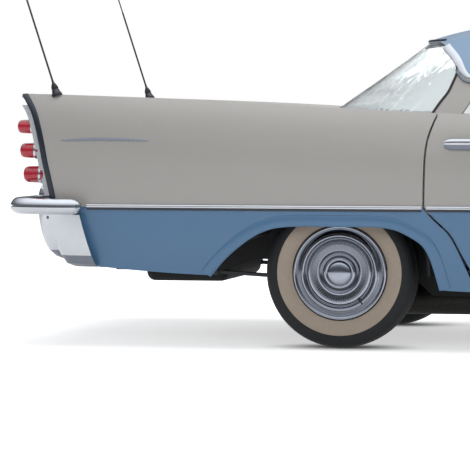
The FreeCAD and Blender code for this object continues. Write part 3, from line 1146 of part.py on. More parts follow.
# Headlamps: a deep body, a rounded bezel and a domed glass
LAMP_R, LAMP_Z, LAMP_DEPTH = size("headlamp_radius"), size("headlamp_height"), 64.0
LAMP_PLACES = [(BROW_X - 66.0, 800.0), (BROW_X - 46.0, 655.0)]
BEZEL_SHARES = [(0.0, 0.0), (0.0, 1.0), (0.86, 1.0), (1.0, 0.94), (1.0, 0.86), (0.90, 0.82), (0.97, 0.50), (1.0, 0.0)]
lamp_outline = [((along - 1.0) * LAMP_DEPTH, radius * LAMP_R) for along, radius in BEZEL_SHARES]
headlamps = both(Part.Compound([turned_ahead(lamp_outline, x, y, LAMP_Z) for x, y in LAMP_PLACES]))
for x, y in LAMP_PLACES:
    fender_left = fender_left.cut(rod(Vector(x - 1.6 * LAMP_DEPTH, y, LAMP_Z), Vector(HALF_LENGTH, y, LAMP_Z), LAMP_R + SEAT_GAP))

# Tail lamps: three bullets in an upright housing on each fin's end
HOUSING_IN, HOUSING_OUT, HOUSING_T = 800.0, 872.0, 36.0
HOUSING_LOW, HOUSING_HIGH = 0.6485 * BELT, 1.0416 * BELT
tail_behind = tail_cut.cut(shifted(tail_cut, -HOUSING_T))
housing = tail_behind.common(block(-HALF_LENGTH, 0.0, HOUSING_IN, HOUSING_OUT, HOUSING_LOW, HOUSING_HIGH)).translated(
    Vector(-SEAT_GAP, 0, 0))
LENS_Y, LENS_SINK = (HOUSING_IN + HOUSING_OUT) / 2, 20.0
LENSES = [(FIN_TIP_X + 34.0, 957.0, 33.0, 64.0), (FIN_TIP_X + 48.0, 852.0, 36.0, 67.0), (FIN_TIP_X + 70.0, 748.0, 40.0, 74.0)]
BULLET_SHARES = [(0.0, 1.0), (0.30, 0.94), (0.62, 0.76), (0.86, 0.46), (1.0, 0.0)]


def bullet(base_x, z, radius, reach):
    """A rounded lens pointing to the rear."""
    nose = [(-share * reach, width * radius) for share, width in BULLET_SHARES]
    runs = [[(LENS_SINK, 0.0), (LENS_SINK, radius)], [(LENS_SINK, radius), nose[0]]] + [[nose[i], nose[i + 1]] for i in range(
        len(nose) - 1)] + [[nose[-1], (LENS_SINK, 0.0)]]
    return turned_ahead(runs, base_x, LENS_Y, z)


lens_holes = [rod(Vector(x + LENS_SINK + SEAT_GAP, LENS_Y, z), Vector(-HALF_LENGTH, LENS_Y, z), r + SEAT_GAP)
              for x, z, r, reach in LENSES]
tail_lamp_housings = both(housing.cut(fused(lens_holes)))
tail_lamp_lenses = both(Part.Compound([bullet(*lens) for lens in LENSES]))

# Aerials on the fins
LEAN = math.radians(size("antenna_lean"))
AERIAL_FOOT = Vector(-0.9193 * HALF_LENGTH, 0.878 * HALF_WIDTH, 1.087 * BELT)
AERIAL_BASE, AERIAL_TOP, AERIAL_TALL, MAST_R, BALL_R = 22.0, 8.0, 46.0, 3.0, 5.0
aerial_way = Vector(-math.sin(LEAN), 0, math.cos(LEAN))
aerial_tip = AERIAL_FOOT + aerial_way * (size("antenna_length") - 40.0)
aerials = both(fused([
    rod(AERIAL_FOOT, aerial_tip, MAST_R), Part.makeSphere(BALL_R, aerial_tip),
    Part.makeCone(AERIAL_BASE, AERIAL_TOP, AERIAL_TALL, AERIAL_FOOT, aerial_way)]).cut(OUTER))

# Seats
SEAT_TOP, SEAT_HALF, REAR_SEAT_HALF = size("seat_height"), size("front_seat_half"), size("rear_seat_half")
CUSHION_T = 95.0
SEAT_LOW = SEAT_TOP - CUSHION_T
BASE_LOW = SEAT_LOW + 10.0
FRONT_CUSHION = [(-250.0, SEAT_LOW), (300.0, SEAT_LOW), (330.0, SEAT_LOW + 30.0), (318.0, SEAT_TOP - 8.0),
                 (270.0, SEAT_TOP), (-190.0, SEAT_TOP - 20.0)]
FRONT_BACK = [(-340.0, SEAT_LOW), (-251.0, SEAT_LOW), (-191.0, SEAT_TOP - 20.0), (-262.0, SEAT_TOP + 340.0),
              (-290.0, SEAT_TOP + 362.0), (-350.0, SEAT_TOP + 355.0), (-372.0, SEAT_TOP + 320.0)]
LEG_IN, LEG_OUT = TUNNEL_HALF + 20.0, NARROW_HALF - 40.0
front_cushion = side_prism(corners(FRONT_CUSHION), -SEAT_HALF, SEAT_HALF)
front_back = side_prism(corners(FRONT_BACK), -SEAT_HALF, SEAT_HALF)
front_seat = fused([front_cushion, front_back, *both(block(-150.0, 250.0, LEG_IN, LEG_OUT, FLOOR, SEAT_LOW)).Solids])
BACK_X = BULKHEAD_X + SHEET + 2.0
REAR_CUSHION = [(BACK_X + 156.0, BASE_LOW), (-640.0, BASE_LOW), (-615.0, BASE_LOW + 30.0), (-628.0, SEAT_TOP),
                (-680.0, SEAT_TOP + 8.0), (BACK_X + 186.0, SEAT_TOP - 15.0)]
REAR_BACK = [(BACK_X, BASE_LOW), (BACK_X + 155.0, BASE_LOW), (BACK_X + 185.0, SEAT_TOP - 15.0), (BACK_X + 91.0, SEAT_TOP + 285.0),
             (BACK_X + 56.0, SEAT_TOP + 308.0), (BACK_X, SEAT_TOP + 308.0)]
rear_cushion = side_prism(corners(REAR_CUSHION), -REAR_SEAT_HALF, REAR_SEAT_HALF)
rear_back = side_prism(corners(REAR_BACK), -REAR_SEAT_HALF, REAR_SEAT_HALF)
rear_legs = both(block(KICK_START + 20.0, -680.0, LEG_IN, LEG_OUT - 60.0, FLOOR, BASE_LOW))
rear_seat = fused([rear_cushion, rear_back, *rear_legs.Solids])

# Dashboard and steering column
DASH_HALF, DASH_TOP, DASH_BACK = 770.0, 925.0, FIREWALL_X - SEAT_GAP
dash = side_prism([
    [(700.0, 700.0), (660.0, 760.0)], [(660.0, 760.0), (668.0, 840.0), (700.0, 905.0), (770.0, DASH_TOP)],
    [(770.0, DASH_TOP), (DASH_BACK, DASH_TOP)], [(DASH_BACK, DASH_TOP), (DASH_BACK, 830.0)],
    [(DASH_BACK, 830.0), (800.0, 760.0)], [(800.0, 760.0), (700.0, 700.0)]], -DASH_HALF, DASH_HALF)
COLUMN_Y, COLUMN_LOW, COLUMN_HIGH, WHEEL_X = size("steering_column_y"), 560.0, 875.0, 430.0
COLUMN_R, HUB_DEEP, PIN_SHORT = 22.0, 50.0, 10.0
COLUMN_FOOT, WHEEL_HUB = Vector(DASH_BACK - 12.0, COLUMN_Y, COLUMN_LOW), Vector(WHEEL_X, COLUMN_Y, COLUMN_HIGH)
COLUMN_AXIS = (WHEEL_HUB - COLUMN_FOOT).normalize()
column_top = WHEEL_HUB - COLUMN_AXIS * HUB_DEEP
pin_top = WHEEL_HUB - COLUMN_AXIS * PIN_SHORT
dashboard = fused([dash, rod(COLUMN_FOOT, column_top, COLUMN_R), rod(column_top, pin_top, PIN_R)])

# Steering wheel: rim, hub and one cross spoke, bored for the column's pin
rim = doc.addObject("Part::Torus", "wheel_rim")
rim.setExpression("Radius1", cells("steering_wheel_radius - steering_rim"))
rim.setExpression("Radius2", cells("steering_rim"))
rim.Placement = Placement(WHEEL_HUB, Rotation(Vector(0, 0, 1), COLUMN_AXIS))
SPOKE_REACH = Vector(0, size("steering_wheel_radius") - size("steering_rim"), 0)
wheel_solid = joined("steering_wheel_solid", [
    rim,
    solid_rod("wheel_hub", column_top + COLUMN_AXIS, WHEEL_HUB + COLUMN_AXIS * 20.0, "steering_hub_radius"),
    solid_rod("wheel_spoke", WHEEL_HUB - SPOKE_REACH, WHEEL_HUB + SPOKE_REACH, "spoke_radius"),
])
steering_wheel = doc.addObject("Part::Cut", "steering_wheel")
steering_wheel.Base = wheel_solid
steering_wheel.Tool = solid_rod("pin_bore", column_top, pin_top + COLUMN_AXIS * HUB_FIT, "kingpin_radius + hub_clearance")

# Sub-parts whose shapes are lofts, outlines and cuts
SHAPES = {
    "frame_rails": frame_rails,
    "cabin_floor": cabin_floor,
    "tunnel": tunnel,
    "firewall": firewall,
    "boot_floor": boot_floor,
    "rear_bulkhead": rear_bulkhead,
    "rear_wheelhouses": rear_wheelhouses,
    "inner_fenders": inner_fenders,
    "front_suspension": front_suspension,
    "rear_bumper": rear_bumper,
    "front_bumper": front_bumper,
    "grille": grille,
    "headlamps": headlamps,
    "tail_lamp_housings": tail_lamp_housings,
    "tail_lamp_lenses": tail_lamp_lenses,
    "aerials": aerials,
    "door_front_left": door_front_left,
    "door_front_right": mirrored(door_front_left),
    "door_rear_left": door_rear_left,
    "door_rear_right": mirrored(door_rear_left),
    "sills": both(sill_left),
    "fender_left": fender_left,
    "fender_right": mirrored(fender_left),
    "quarter_left": quarter_left,
    "quarter_right": mirrored(quarter_left),
    "roof": roof,
    "windscreen": windscreen,
    "rear_window": rear_window,
    "hood": hood,
    "trunk_lid": trunk_lid,
    "cowl_panel": cowl,
    "nose_panel": nose_panel,
    "rear_panels": rear_panels,
    "front_seat": front_seat,
    "rear_seat": rear_seat,
    "dashboard": dashboard,
}
sub_parts = [feature(label, plain(shape)) for label, shape in SHAPES.items()]
sub_parts += [cross_members, powertrain, exhaust, fuel_tank, radiator, steering_wheel]
sub_parts += [knuckle("knuckle_left", 1), knuckle("knuckle_right", -1)]
sub_parts.append(grouped("rear_axle", [axle_casing, feature("leaf_springs", leaf_springs)]))
for end, centre_x, half_track in (("rear", REAR_AXLE_X, REAR_Y), ("front", FRONT_AXLE_X, FRONT_Y)):
    for hand, side in (("left", 1), ("right", -1)):
        centre = Vector(centre_x, side * half_track, TYRE_R)
        sub_parts.append(turned_body("tyre_%s_%s" % (end, hand), tyre_outline(), centre))
        sub_parts.append(turned_body("wheel_%s_%s" % (end, hand), wheel_outline(side), centre))
doc.recompute()

for obj in doc.Objects:
    if "Invalid" in obj.State or "Error" in obj.State:
        raise RuntimeError("%s did not build" % obj.Label)
for obj in sub_parts:
    if obj.Shape.isNull() or not obj.Shape.isValid():
        raise RuntimeError("%s has no valid shape" % obj.Label)
os.makedirs("parts", exist_ok=True)
for obj in sub_parts:
    plain(obj.Shape).exportStep("parts/%s.step" % obj.Label)
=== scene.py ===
# %% [markdown]
# # A late-1950s finned hardtop, dressed for its picture
# The CAD model gives every panel, wheel and seat its place. This lesson turns it into a car that looks painted,
# chromed and upholstered. Each step first says what the part is on the real car and how it is made here.
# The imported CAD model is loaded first, because every piece that follows has to sit on it or replace one of its nodes.

# %% Load the CAD frame
import json
from math import atan2, cos, exp, pi, radians, sin

import bmesh
import bpy
from mathutils import Matrix, Vector
from mathutils.bvhtree import BVHTree

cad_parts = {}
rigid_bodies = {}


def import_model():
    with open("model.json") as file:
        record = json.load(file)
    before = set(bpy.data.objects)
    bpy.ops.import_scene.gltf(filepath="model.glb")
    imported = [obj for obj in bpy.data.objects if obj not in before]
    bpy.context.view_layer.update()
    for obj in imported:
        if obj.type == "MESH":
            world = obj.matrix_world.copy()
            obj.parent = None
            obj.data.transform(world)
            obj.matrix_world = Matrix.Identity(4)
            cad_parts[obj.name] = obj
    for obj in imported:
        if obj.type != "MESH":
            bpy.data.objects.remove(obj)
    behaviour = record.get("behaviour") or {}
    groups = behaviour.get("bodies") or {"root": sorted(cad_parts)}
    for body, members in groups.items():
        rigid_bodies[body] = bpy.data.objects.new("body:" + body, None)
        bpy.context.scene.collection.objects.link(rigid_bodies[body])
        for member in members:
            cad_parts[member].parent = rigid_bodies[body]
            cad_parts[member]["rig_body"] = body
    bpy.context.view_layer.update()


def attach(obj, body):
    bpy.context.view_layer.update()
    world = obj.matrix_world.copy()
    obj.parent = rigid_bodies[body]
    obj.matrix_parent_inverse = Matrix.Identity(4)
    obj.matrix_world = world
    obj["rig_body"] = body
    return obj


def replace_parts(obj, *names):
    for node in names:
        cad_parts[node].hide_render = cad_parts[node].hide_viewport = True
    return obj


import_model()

# %% Sizes that several steps use, in millimetres
REAR_AXLE_X, FRONT_AXLE_X = -1322, 1878
TYRE_RADIUS = 328
TRIM_Z = 609
HANDS = ((1, "left"), (-1, "right"))
UP, DOWN, FORWARD, BACK = Vector((0, 0, 1)), Vector((0, 0, -1)), Vector((1, 0, 0)), Vector((-1, 0, 0))
print("wheelbase in mm:", FRONT_AXLE_X - REAR_AXLE_X)

# %% [markdown]
# ## The camera
# The photograph was taken level with the fins, a long way off to the car's right, with a long lens. A far camera
# keeps the wheels nearly round and the far side almost hidden behind the near one. The lens length follows from how
# wide the near wheel is in a frame 470 pixels across.

# %% Place the camera
SENSOR_MM, FRAME_PIXELS, LENS_PIXELS = 36, 470, 2949
camera_data = bpy.data.cameras.new("photo_lens")
camera = bpy.data.objects.new("photo_camera", camera_data)
bpy.context.scene.collection.objects.link(camera)
camera_place = Vector((0.834, -13.363, 0.974))
looked_at = Vector((-1.779, -0.863, 0.488))
camera.location = camera_place
camera.rotation_euler = (looked_at - camera_place).to_track_quat("-Z", "Y").to_euler()
camera_data.sensor_width = SENSOR_MM
camera_data.lens = LENS_PIXELS / FRAME_PIXELS * SENSOR_MM
camera_data.clip_end = 100
bpy.context.scene.camera = camera
print("lens", round(camera_data.lens, 1), "mm, from", round((looked_at - camera_place).length, 2), "m")

# %% [markdown]
# ## Floor, background and light
# A studio has a pale floor that runs into a white wall, with large soft lamps. The wall is white where the camera
# looks at it. Chrome mirrors a darker room than that, because it only looks like chrome when it has something dark
# to mirror beside the bright floor and the overhead lamp. The floor fades to white far out, so no seam shows.


# %% Helpers for shader nodes
def feed(tree, made, inputs):
    """Sets a node's inputs, each from a number, a colour or the socket that feeds it."""
    for title, value in inputs.items():
        if isinstance(value, bpy.types.NodeSocket):
            tree.links.new(value, made.inputs[title])
        else:
            made.inputs[title].default_value = value
    return made


def node(tree, kind, inputs=None, **settings):
    """Adds a shader node with its settings and inputs."""
    made = tree.nodes.new("ShaderNode" + kind)
    for title, value in settings.items():
        setattr(made, title, value)
    return feed(tree, made, inputs or {})


def worked(tree, kind, *values):
    """The result of a sum on sockets and numbers."""
    return node(tree, "Math", dict(enumerate(values)), operation=kind).outputs[0]


def first_of(tree, kind):
    return next(each for each in tree.nodes if each.type == kind)


# %% Colour management and the world
ROOM_BANDS = [(0.0, 0.30), (0.03, 0.16), (0.16, 0.13), (0.34, 0.30), (0.56, 0.85), (0.86, 1.50)]
scene = bpy.context.scene
scene.view_settings.view_transform = "Standard"
world = bpy.data.worlds.new("studio")
scene.world = world
world.use_nodes = True
tree = world.node_tree
tree.nodes.clear()
rays = node(tree, "LightPath").outputs
height = node(tree, "SeparateXYZ", {0: node(tree, "TexCoord").outputs["Generated"]})
bands = node(tree, "ValToRGB", {0: height.outputs["Z"]})
for _ in ROOM_BANDS[2:]:
    bands.color_ramp.elements.new(0.5)
for element, (spot, grey) in zip(bands.color_ramp.elements, ROOM_BANDS):
    element.position = spot
    element.color = (grey * 0.94, grey * 0.97, grey, 1)
soft = node(tree, "Background", {"Color": (0.93, 0.96, 1.0, 1), "Strength": 0.30})
mirrored_room = node(tree, "Background", {"Color": bands.outputs["Color"]})
white_wall = node(tree, "Background", {"Color": (1, 1, 1, 1)})
in_mirror = node(tree, "MixShader", {0: rays["Is Glossy Ray"], 1: soft.outputs[0], 2: mirrored_room.outputs[0]})
seen = worked(tree, "MAXIMUM", rays["Is Camera Ray"], rays["Is Transmission Ray"])
in_view = node(tree, "MixShader", {0: seen, 1: in_mirror.outputs[0], 2: white_wall.outputs[0]})
node(tree, "OutputWorld", {"Surface": in_view.outputs[0]})
print("mirrored room, from the horizon up:", [round(e.color[2], 2) for e in bands.color_ramp.elements])

# %% The floor's shade
UNDER_CAR, OPEN_FLOOR, TYRE_PAINTED_SHADOW = 0.56, 1.0, 0.06
pale = bpy.data.materials.new("pale_floor")
pale.use_nodes = True
tree = pale.node_tree
tree.nodes.clear()
rays = node(tree, "LightPath").outputs
split = node(tree, "SeparateXYZ", {0: node(tree, "TexCoord").outputs["Object"]}).outputs


def eased_range(value, low, high, at_low, at_high):
    """Maps a floor socket from one range to another, with soft ends."""
    ends = {"Value": value, "From Min": low, "From Max": high, "To Min": at_low, "To Max": at_high}
    return node(tree, "MapRange", ends, interpolation_type="SMOOTHSTEP").outputs["Result"]


aside, ahead = worked(tree, "ABSOLUTE", split["Y"]), worked(tree, "ABSOLUTE", split["X"])
# Near the car the floor glows less than far out, so it is darkened there by the lamps' real shadow and by this lower
# glow, which is painted shade.
glow_and_painted_shadow = worked(tree, "MAXIMUM", eased_range(aside, 0.9, 1.8, UNDER_CAR, OPEN_FLOOR),
              eased_range(ahead, 2.7, 3.6, UNDER_CAR, OPEN_FLOOR))
# Round each tyre the glow drops further, which is a painted contact shadow.
for axle_x in (REAR_AXLE_X / 1000, FRONT_AXLE_X / 1000):
    along = worked(tree, "DIVIDE", worked(tree, "SUBTRACT", split["X"], axle_x), 0.27)
    across = worked(tree, "DIVIDE", worked(tree, "SUBTRACT", aside, 0.757), 0.17)
    squares = [worked(tree, "MULTIPLY", each, each) for each in (along, across)]
    away = worked(tree, "SQRT", worked(tree, "ADD", *squares))
    glow_and_painted_shadow = worked(tree, "MULTIPLY", glow_and_painted_shadow, eased_range(away, 0.25, 1.5, TYRE_PAINTED_SHADOW, OPEN_FLOOR))
in_view = worked(tree, "MULTIPLY", worked(tree, "MAXIMUM", rays["Is Camera Ray"], rays["Is Transmission Ray"]), glow_and_painted_shadow)
in_mirror = worked(tree, "MULTIPLY", rays["Is Glossy Ray"], 0.30)
lift = node(tree, "Emission", {"Strength": worked(tree, "ADD", in_view, in_mirror)})
matt = node(tree, "BsdfDiffuse", {"Color": (0.80, 0.80, 0.80, 1)})
both_shaders = node(tree, "AddShader", {0: matt.outputs[0], 1: lift.outputs[0]})
node(tree, "OutputMaterial", {"Surface": both_shaders.outputs[0]})
print("floor shade made, nodes:", len(tree.nodes))

# %% The floor keeps the car's shadow
FLOOR_HALF = 90
bm = bmesh.new()
bmesh.ops.create_grid(bm, x_segments=1, y_segments=1, size=FLOOR_HALF)
floor_mesh = bpy.data.meshes.new("studio_floor")
bm.to_mesh(floor_mesh)
bm.free()
floor = bpy.data.objects.new("studio_floor", floor_mesh)
scene.collection.objects.link(floor)
floor_mesh.materials.append(pale)
print("floor, metres across:", 2 * FLOOR_HALF)

# %% Soft lamps
# Each row is a name, a place, the point it is aimed at, its size in metres and its power in watts.
LAMPS = [("overhead_box", (0.0, 0.0, 4.4), (0.0, 0.0, 0.0), (7.0, 3.6), 175),
         ("near_fill", (-0.5, -6.5, 2.6), (-0.6, 0.0, 0.6), (7.0, 2.5), 135),
         ("far_fill", (0.5, 6.5, 2.6), (0.4, 0.0, 0.6), (7.0, 2.5), 120),
         ("tail_fill", (-7.0, -1.0, 2.2), (-2.0, 0.0, 0.7), (3.5, 2.2), 60),
         ("nose_fill", (7.0, 1.0, 2.2), (2.0, 0.0, 0.7), (3.5, 2.2), 60)]
for name, place, aim, size, watts in LAMPS:
    data = bpy.data.lights.new(name, "AREA")
    data.shape = "RECTANGLE"
    data.size, data.size_y = size
    data.energy = watts
    lamp = bpy.data.objects.new(name, data)
    lamp.location = place
    lamp.rotation_euler = (Vector(aim) - Vector(place)).to_track_quat("-Z", "Y").to_euler()
    lamp.visible_glossy = False
    scene.collection.objects.link(lamp)
print("lamps that leave no patch in chrome:", len(LAMPS))

# %% [markdown]
# ## Finishes
# Every finish is a small tree of nodes round one shader. A clear colour alone looks like plastic from every distance,
# so each has the unevenness of the real one: orange peel and dust in paint, faint ripples in pressed chrome, pores in
# rubber, and weave in cloth. The patterns read Object coordinates in metres, so their size is a real size.


# %% A helper for a finish with grain
def tint(ramp, colour, spread):
    """Sets a ramp to run from a little below a colour to a little above it."""
    for element, spot, step in zip(ramp.color_ramp.elements, (0.2, 0.8), (1 - spread, 1 + spread)):
        element.color = (*[min(1.0, c * step) for c in colour], 1)
        element.position = spot


def finish(name, colour, rough, metal=0.0, coat=0.0, grain=400.0, spread=0.04, bump=0.05, depth=0.0004,
           rough_spread=0.08):
    """A shader whose colour, roughness and surface vary with noise in real millimetres."""
    made = bpy.data.materials.new(name)
    made.use_nodes = True
    tree = made.node_tree
    where = node(tree, "TexCoord").outputs["Object"]
    noise = node(tree, "TexNoise", {"Scale": grain, "Detail": 4, "Vector": where}).outputs["Fac"]
    ramp = node(tree, "ValToRGB", {0: noise})
    tint(ramp, colour, spread)
    low, high = max(0.02, rough - rough_spread / 2), rough + rough_spread / 2
    roughness = node(tree, "MapRange", {"To Min": low, "To Max": high, "Value": noise})
    relief = node(tree, "Bump", {"Strength": bump, "Distance": depth, "Height": noise})
    feed(tree, tree.nodes["Principled BSDF"], {
        "Metallic": metal, "Coat Weight": coat, "Coat Roughness": 0.12, "Base Color": ramp.outputs["Color"],
        "Roughness": roughness.outputs["Result"], "Normal": relief.outputs["Normal"]})
    return made


def see_through(made, share, index):
    """Lets a share of the light through a finish, bent as in glass."""
    shader = made.node_tree.nodes["Principled BSDF"]
    feed(made.node_tree, shader, {"Transmission Weight": share, "IOR": index})
    return made


# %% A finish that changes colour at a height
def by_height(made, level, colour):
    """Gives a finish another colour above a height in metres, with the grain kept."""
    tree = made.node_tree
    ramp = first_of(tree, "VALTORGB")
    split = node(tree, "SeparateXYZ", {0: first_of(tree, "TEX_COORD").outputs["Object"]})
    above = worked(tree, "GREATER_THAN", split.outputs["Z"], level)
    other = node(tree, "ValToRGB", {0: ramp.inputs[0].links[0].from_socket})
    tint(other, colour, 0.01)
    mix = node(tree, "Mix", {0: above, 6: ramp.outputs["Color"], 7: other.outputs["Color"]}, data_type="RGBA")
    feed(tree, tree.nodes["Principled BSDF"], {"Base Color": mix.outputs[2]})
    return made


# %% Paints
SEA_BLUE = (0.086, 0.196, 0.348)
SHELL_GREY = (0.420, 0.405, 0.385)
SKY_BLUE = (0.265, 0.385, 0.545)
SHADE_NAVY = (0.010, 0.016, 0.030)


def paint(name, colour):
    return finish(name, colour, 0.30, coat=0.30, grain=5, spread=0.01, bump=0.010, depth=0.0002,
                  rough_spread=0.03)


body_paint = by_height(paint("two_tone_paint", SEA_BLUE), TRIM_Z / 1000, SHELL_GREY)
grey_paint = paint("shell_grey_paint", SHELL_GREY)
blue_paint = paint("sea_blue_paint", SEA_BLUE)
# A navy that paints shade and dark reflection: the moulding's lower half, the fin's end faces and the strip along the
# fin's end.
shade_navy_paint = finish("navy_painted_shade", SHADE_NAVY, 0.35, coat=0.4, grain=60, spread=0.05, bump=0.02)
dash_paint = finish("dash_paint", (0.120, 0.200, 0.300), 0.32, coat=0.4, grain=60, spread=0.03)
print("paints: body, grey, blue, navy and dashboard")

# %% The roof is blue above a slanted line
ROOF_BLUE_FROM, LINE_SLOPE, LINE_LEVEL, PILLARS_FROM = 1.170, 1.355, 0.100, 0.60
roof_paint = by_height(paint("roof_paint", SHELL_GREY), ROOF_BLUE_FROM, SKY_BLUE)
tree = roof_paint.node_tree
split = first_of(tree, "SEPXYZ").outputs
is_blue = first_of(tree, "MIX").inputs[0]
in_middle = worked(tree, "LESS_THAN", worked(tree, "ABSOLUTE", split["Y"]), PILLARS_FROM)
slant = worked(tree, "ADD", split["Z"], worked(tree, "MULTIPLY", split["X"], LINE_SLOPE))
ahead = worked(tree, "GREATER_THAN", slant, LINE_LEVEL)
rule = worked(tree, "MULTIPLY", is_blue.links[0].from_socket, worked(tree, "MAXIMUM", ahead, in_middle))
tree.links.new(rule, is_blue)
print("roof blue from", ROOF_BLUE_FROM, "m up")

# %% Chrome, rubber, trim and lining
chrome = finish("polished_chrome", (0.60, 0.62, 0.66), 0.07, metal=1.0, grain=18, spread=0.03, bump=0.015,
                depth=0.0006, rough_spread=0.04)
# A darker copy of the chrome that paints shade and dark reflection: in channels and grooves, under the handles and the
# valance, and on the spears, drip and header mouldings, wiper arms, bolts and radio face.
shade_painted_chrome = finish("chrome_with_painted_shade", (0.20, 0.22, 0.26), 0.16, metal=1.0, grain=60, spread=0.06, bump=0.02)
mast_steel = finish("mast_steel", (0.10, 0.105, 0.115), 0.30, metal=1.0, grain=90, spread=0.05)
rubber = finish("tyre_rubber", (0.009, 0.010, 0.012), 0.62, grain=240, spread=0.15, bump=0.25, depth=0.0008)
gasket = finish("black_gasket", (0.014, 0.014, 0.017), 0.45, grain=300, spread=0.10, bump=0.10)
whitewall = finish("cream_sidewall", (0.400, 0.330, 0.265), 0.55, grain=60, spread=0.05, bump=0.06)
underbody = finish("underbody_black", (0.010, 0.010, 0.011), 0.70, grain=120, spread=0.25, bump=0.4, depth=0.002)
carpet = finish("loop_carpet", (0.055, 0.075, 0.105), 0.95, grain=520, spread=0.35, bump=0.8, depth=0.002)
seat_vinyl = finish("seat_vinyl", (0.340, 0.380, 0.420), 0.42, grain=420, spread=0.05, bump=0.25, depth=0.0005)
pearl = finish("pearl_plastic", (0.62, 0.62, 0.58), 0.28, coat=0.5, grain=40, spread=0.05, bump=0.03)
print("finishes:", len(bpy.data.materials))


# %% Woven seat cloth
def woven(name, colour, thread, pitch):
    """A cloth whose colour and surface follow two crossed sets of threads."""
    made = finish(name, colour, 0.80, grain=900, spread=0.15, bump=0.5, depth=0.001)
    tree = made.node_tree
    shader = tree.nodes["Principled BSDF"]
    thread_inputs = {"Scale": pitch, "Distortion": 0.6, "Vector": first_of(tree, "TEX_COORD").outputs["Object"]}
    waves = [node(tree, "TexWave", thread_inputs, wave_type="BANDS", bands_direction=way).outputs["Fac"]
             for way in ("Y", "DIAGONAL")]
    crossed = worked(tree, "MULTIPLY", *waves)
    base = shader.inputs["Base Color"].links[0].from_socket
    mix = node(tree, "Mix", {0: crossed, 6: base, 7: (*thread, 1)}, data_type="RGBA")
    feed(tree, shader, {"Base Color": mix.outputs[2], "Sheen Weight": 0.25})
    feed(tree, first_of(tree, "BUMP"), {"Height": crossed})
    return made


seat_cloth = woven("brocade_cloth", (0.090, 0.150, 0.230), (0.32, 0.37, 0.42), 60)
head_cloth = woven("headlining", (0.400, 0.400, 0.380), (0.50, 0.50, 0.48), 90)
print("cloths:", seat_cloth.name, head_cloth.name)

# %% [markdown]
# ## Painted panels
# The outer panels are steel sheet. Their CAD shapes are right, but their facets are loose triangles, which shade flat.
# A copy of each is merged into one surface, its smooth areas are shaded smooth, and its folds stay sharp. Faces that
# belong to something else, such as the inside of a door, get that finish.


# %% Pieces and their bodies
def piece_from(bm, name, *finishes):
    """Turns a bmesh into a piece in the collection, with its finishes."""
    mesh = bpy.data.meshes.new(name)
    bm.to_mesh(mesh)
    bm.free()
    for each in finishes:
        mesh.materials.append(each)
    piece = bpy.data.objects.new(name, mesh)
    scene.collection.objects.link(piece)
    return piece


def on_body(piece, body):
    """Rides a piece on a body."""
    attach(piece, body)
    return piece


def add(bm, name, finishes, body="car"):
    """Makes a piece from a bmesh and one finish or a list, on its body."""
    finishes = finishes if isinstance(finishes, list) else [finishes]
    return on_body(piece_from(bm, name, *finishes), body)


def pick(bm, rule):
    """Gives each face the number of its finish, by a rule on its middle and its normal."""
    for face in bm.faces:
        face.material_index = int(rule(face.calc_center_median(), face.normal))
    return bm


# %% Panels shaded smooth
def smooth(bm, sharp_from=35):
    """Smooth faces, with sharp edges where two faces meet at more than an angle."""
    for face in bm.faces:
        face.smooth = True
    for edge in bm.edges:
        edge.smooth = edge.is_manifold and edge.calc_face_angle(0) < radians(sharp_from)


def panel(node_name, name, finishes, rule=None):
    """A smooth copy of a CAD panel in the panel's place, with its loose triangles joined."""
    source = bpy.data.objects[node_name]
    bm = bmesh.new()
    bm.from_mesh(source.data)
    bmesh.ops.remove_doubles(bm, verts=bm.verts, dist=0.00002)
    bmesh.ops.dissolve_degenerate(bm, edges=bm.edges, dist=0.00001)
    smooth(bm, 28)
    if rule:
        pick(bm, rule)
    made = piece_from(bm, name, *finishes)
    made.modifiers.new("weighted_normals", "WEIGHTED_NORMAL").keep_sharp = True
    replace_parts(made, node_name)
    return on_body(made, source["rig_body"])


# %% Which faces take another finish
CABIN_MIDDLE = Vector((-0.15, 0.0, 1.05))


def fin_end_painted_shade(middle, normal):
    """The faces at the fin's rear end are navy, painted shade."""
    return middle.x < -2.55 and normal.x < -0.6 and middle.z > 0.64


def lining(middle, normal):
    """The lining is the side of the roof that faces the cabin."""
    return normal.dot(CABIN_MIDDLE - middle) > 0.12


def door_inside(middle, normal):
    """The trim panel faces the cabin."""
    return abs(middle.y) < 0.872 and normal.y * middle.y < -0.6 * abs(middle.y)


PANELS = [(["quarter_left", "quarter_right"], [body_paint, shade_navy_paint], fin_end_painted_shade),
          (["fender_left", "fender_right", "sills", "nose_panel", "rear_panels"], [body_paint], None),
          (["door_front_left", "door_front_right", "door_rear_left", "door_rear_right"],
           [body_paint, seat_vinyl], door_inside),
          (["hood", "trunk_lid", "cowl_panel"], [grey_paint], None)]
for titles, finishes, rule in PANELS:
    for title in titles:
        panel(title, title + "_skin", finishes, rule)
panel("roof", "roof_skin", [roof_paint, head_cloth], lining)

# %% [markdown]
# ## Finding the surface
# Trim lies on panels that curve two ways. Its path is drawn in side view, and each point of the path is shot at the
# panel like a ray, which gives the place and the direction that the panel faces there. The right-hand side is measured
# and the left-hand side is its mirror image.


# %% Rays onto the skin
def tree_of(*titles):
    """A search tree of CAD nodes for rays."""
    bm = bmesh.new()
    for title in titles:
        bm.from_mesh(bpy.data.objects[title].data)
    found = BVHTree.FromBMesh(bm)
    bm.free()
    return found


def mm(*values):
    return Vector(values) / 1000


def struck(surface, start, way):
    """Where a ray from a point in millimetres meets a surface, or None."""
    return surface.ray_cast(mm(*start), Vector(way))[0]


def spaced(start, stop, count):
    """Evenly spaced numbers, both ends included."""
    return [start + (stop - start) * i / count for i in range(count + 1)]


def met(points):
    """The points of a path whose rays met something."""
    return [p for p in points if p is not None]


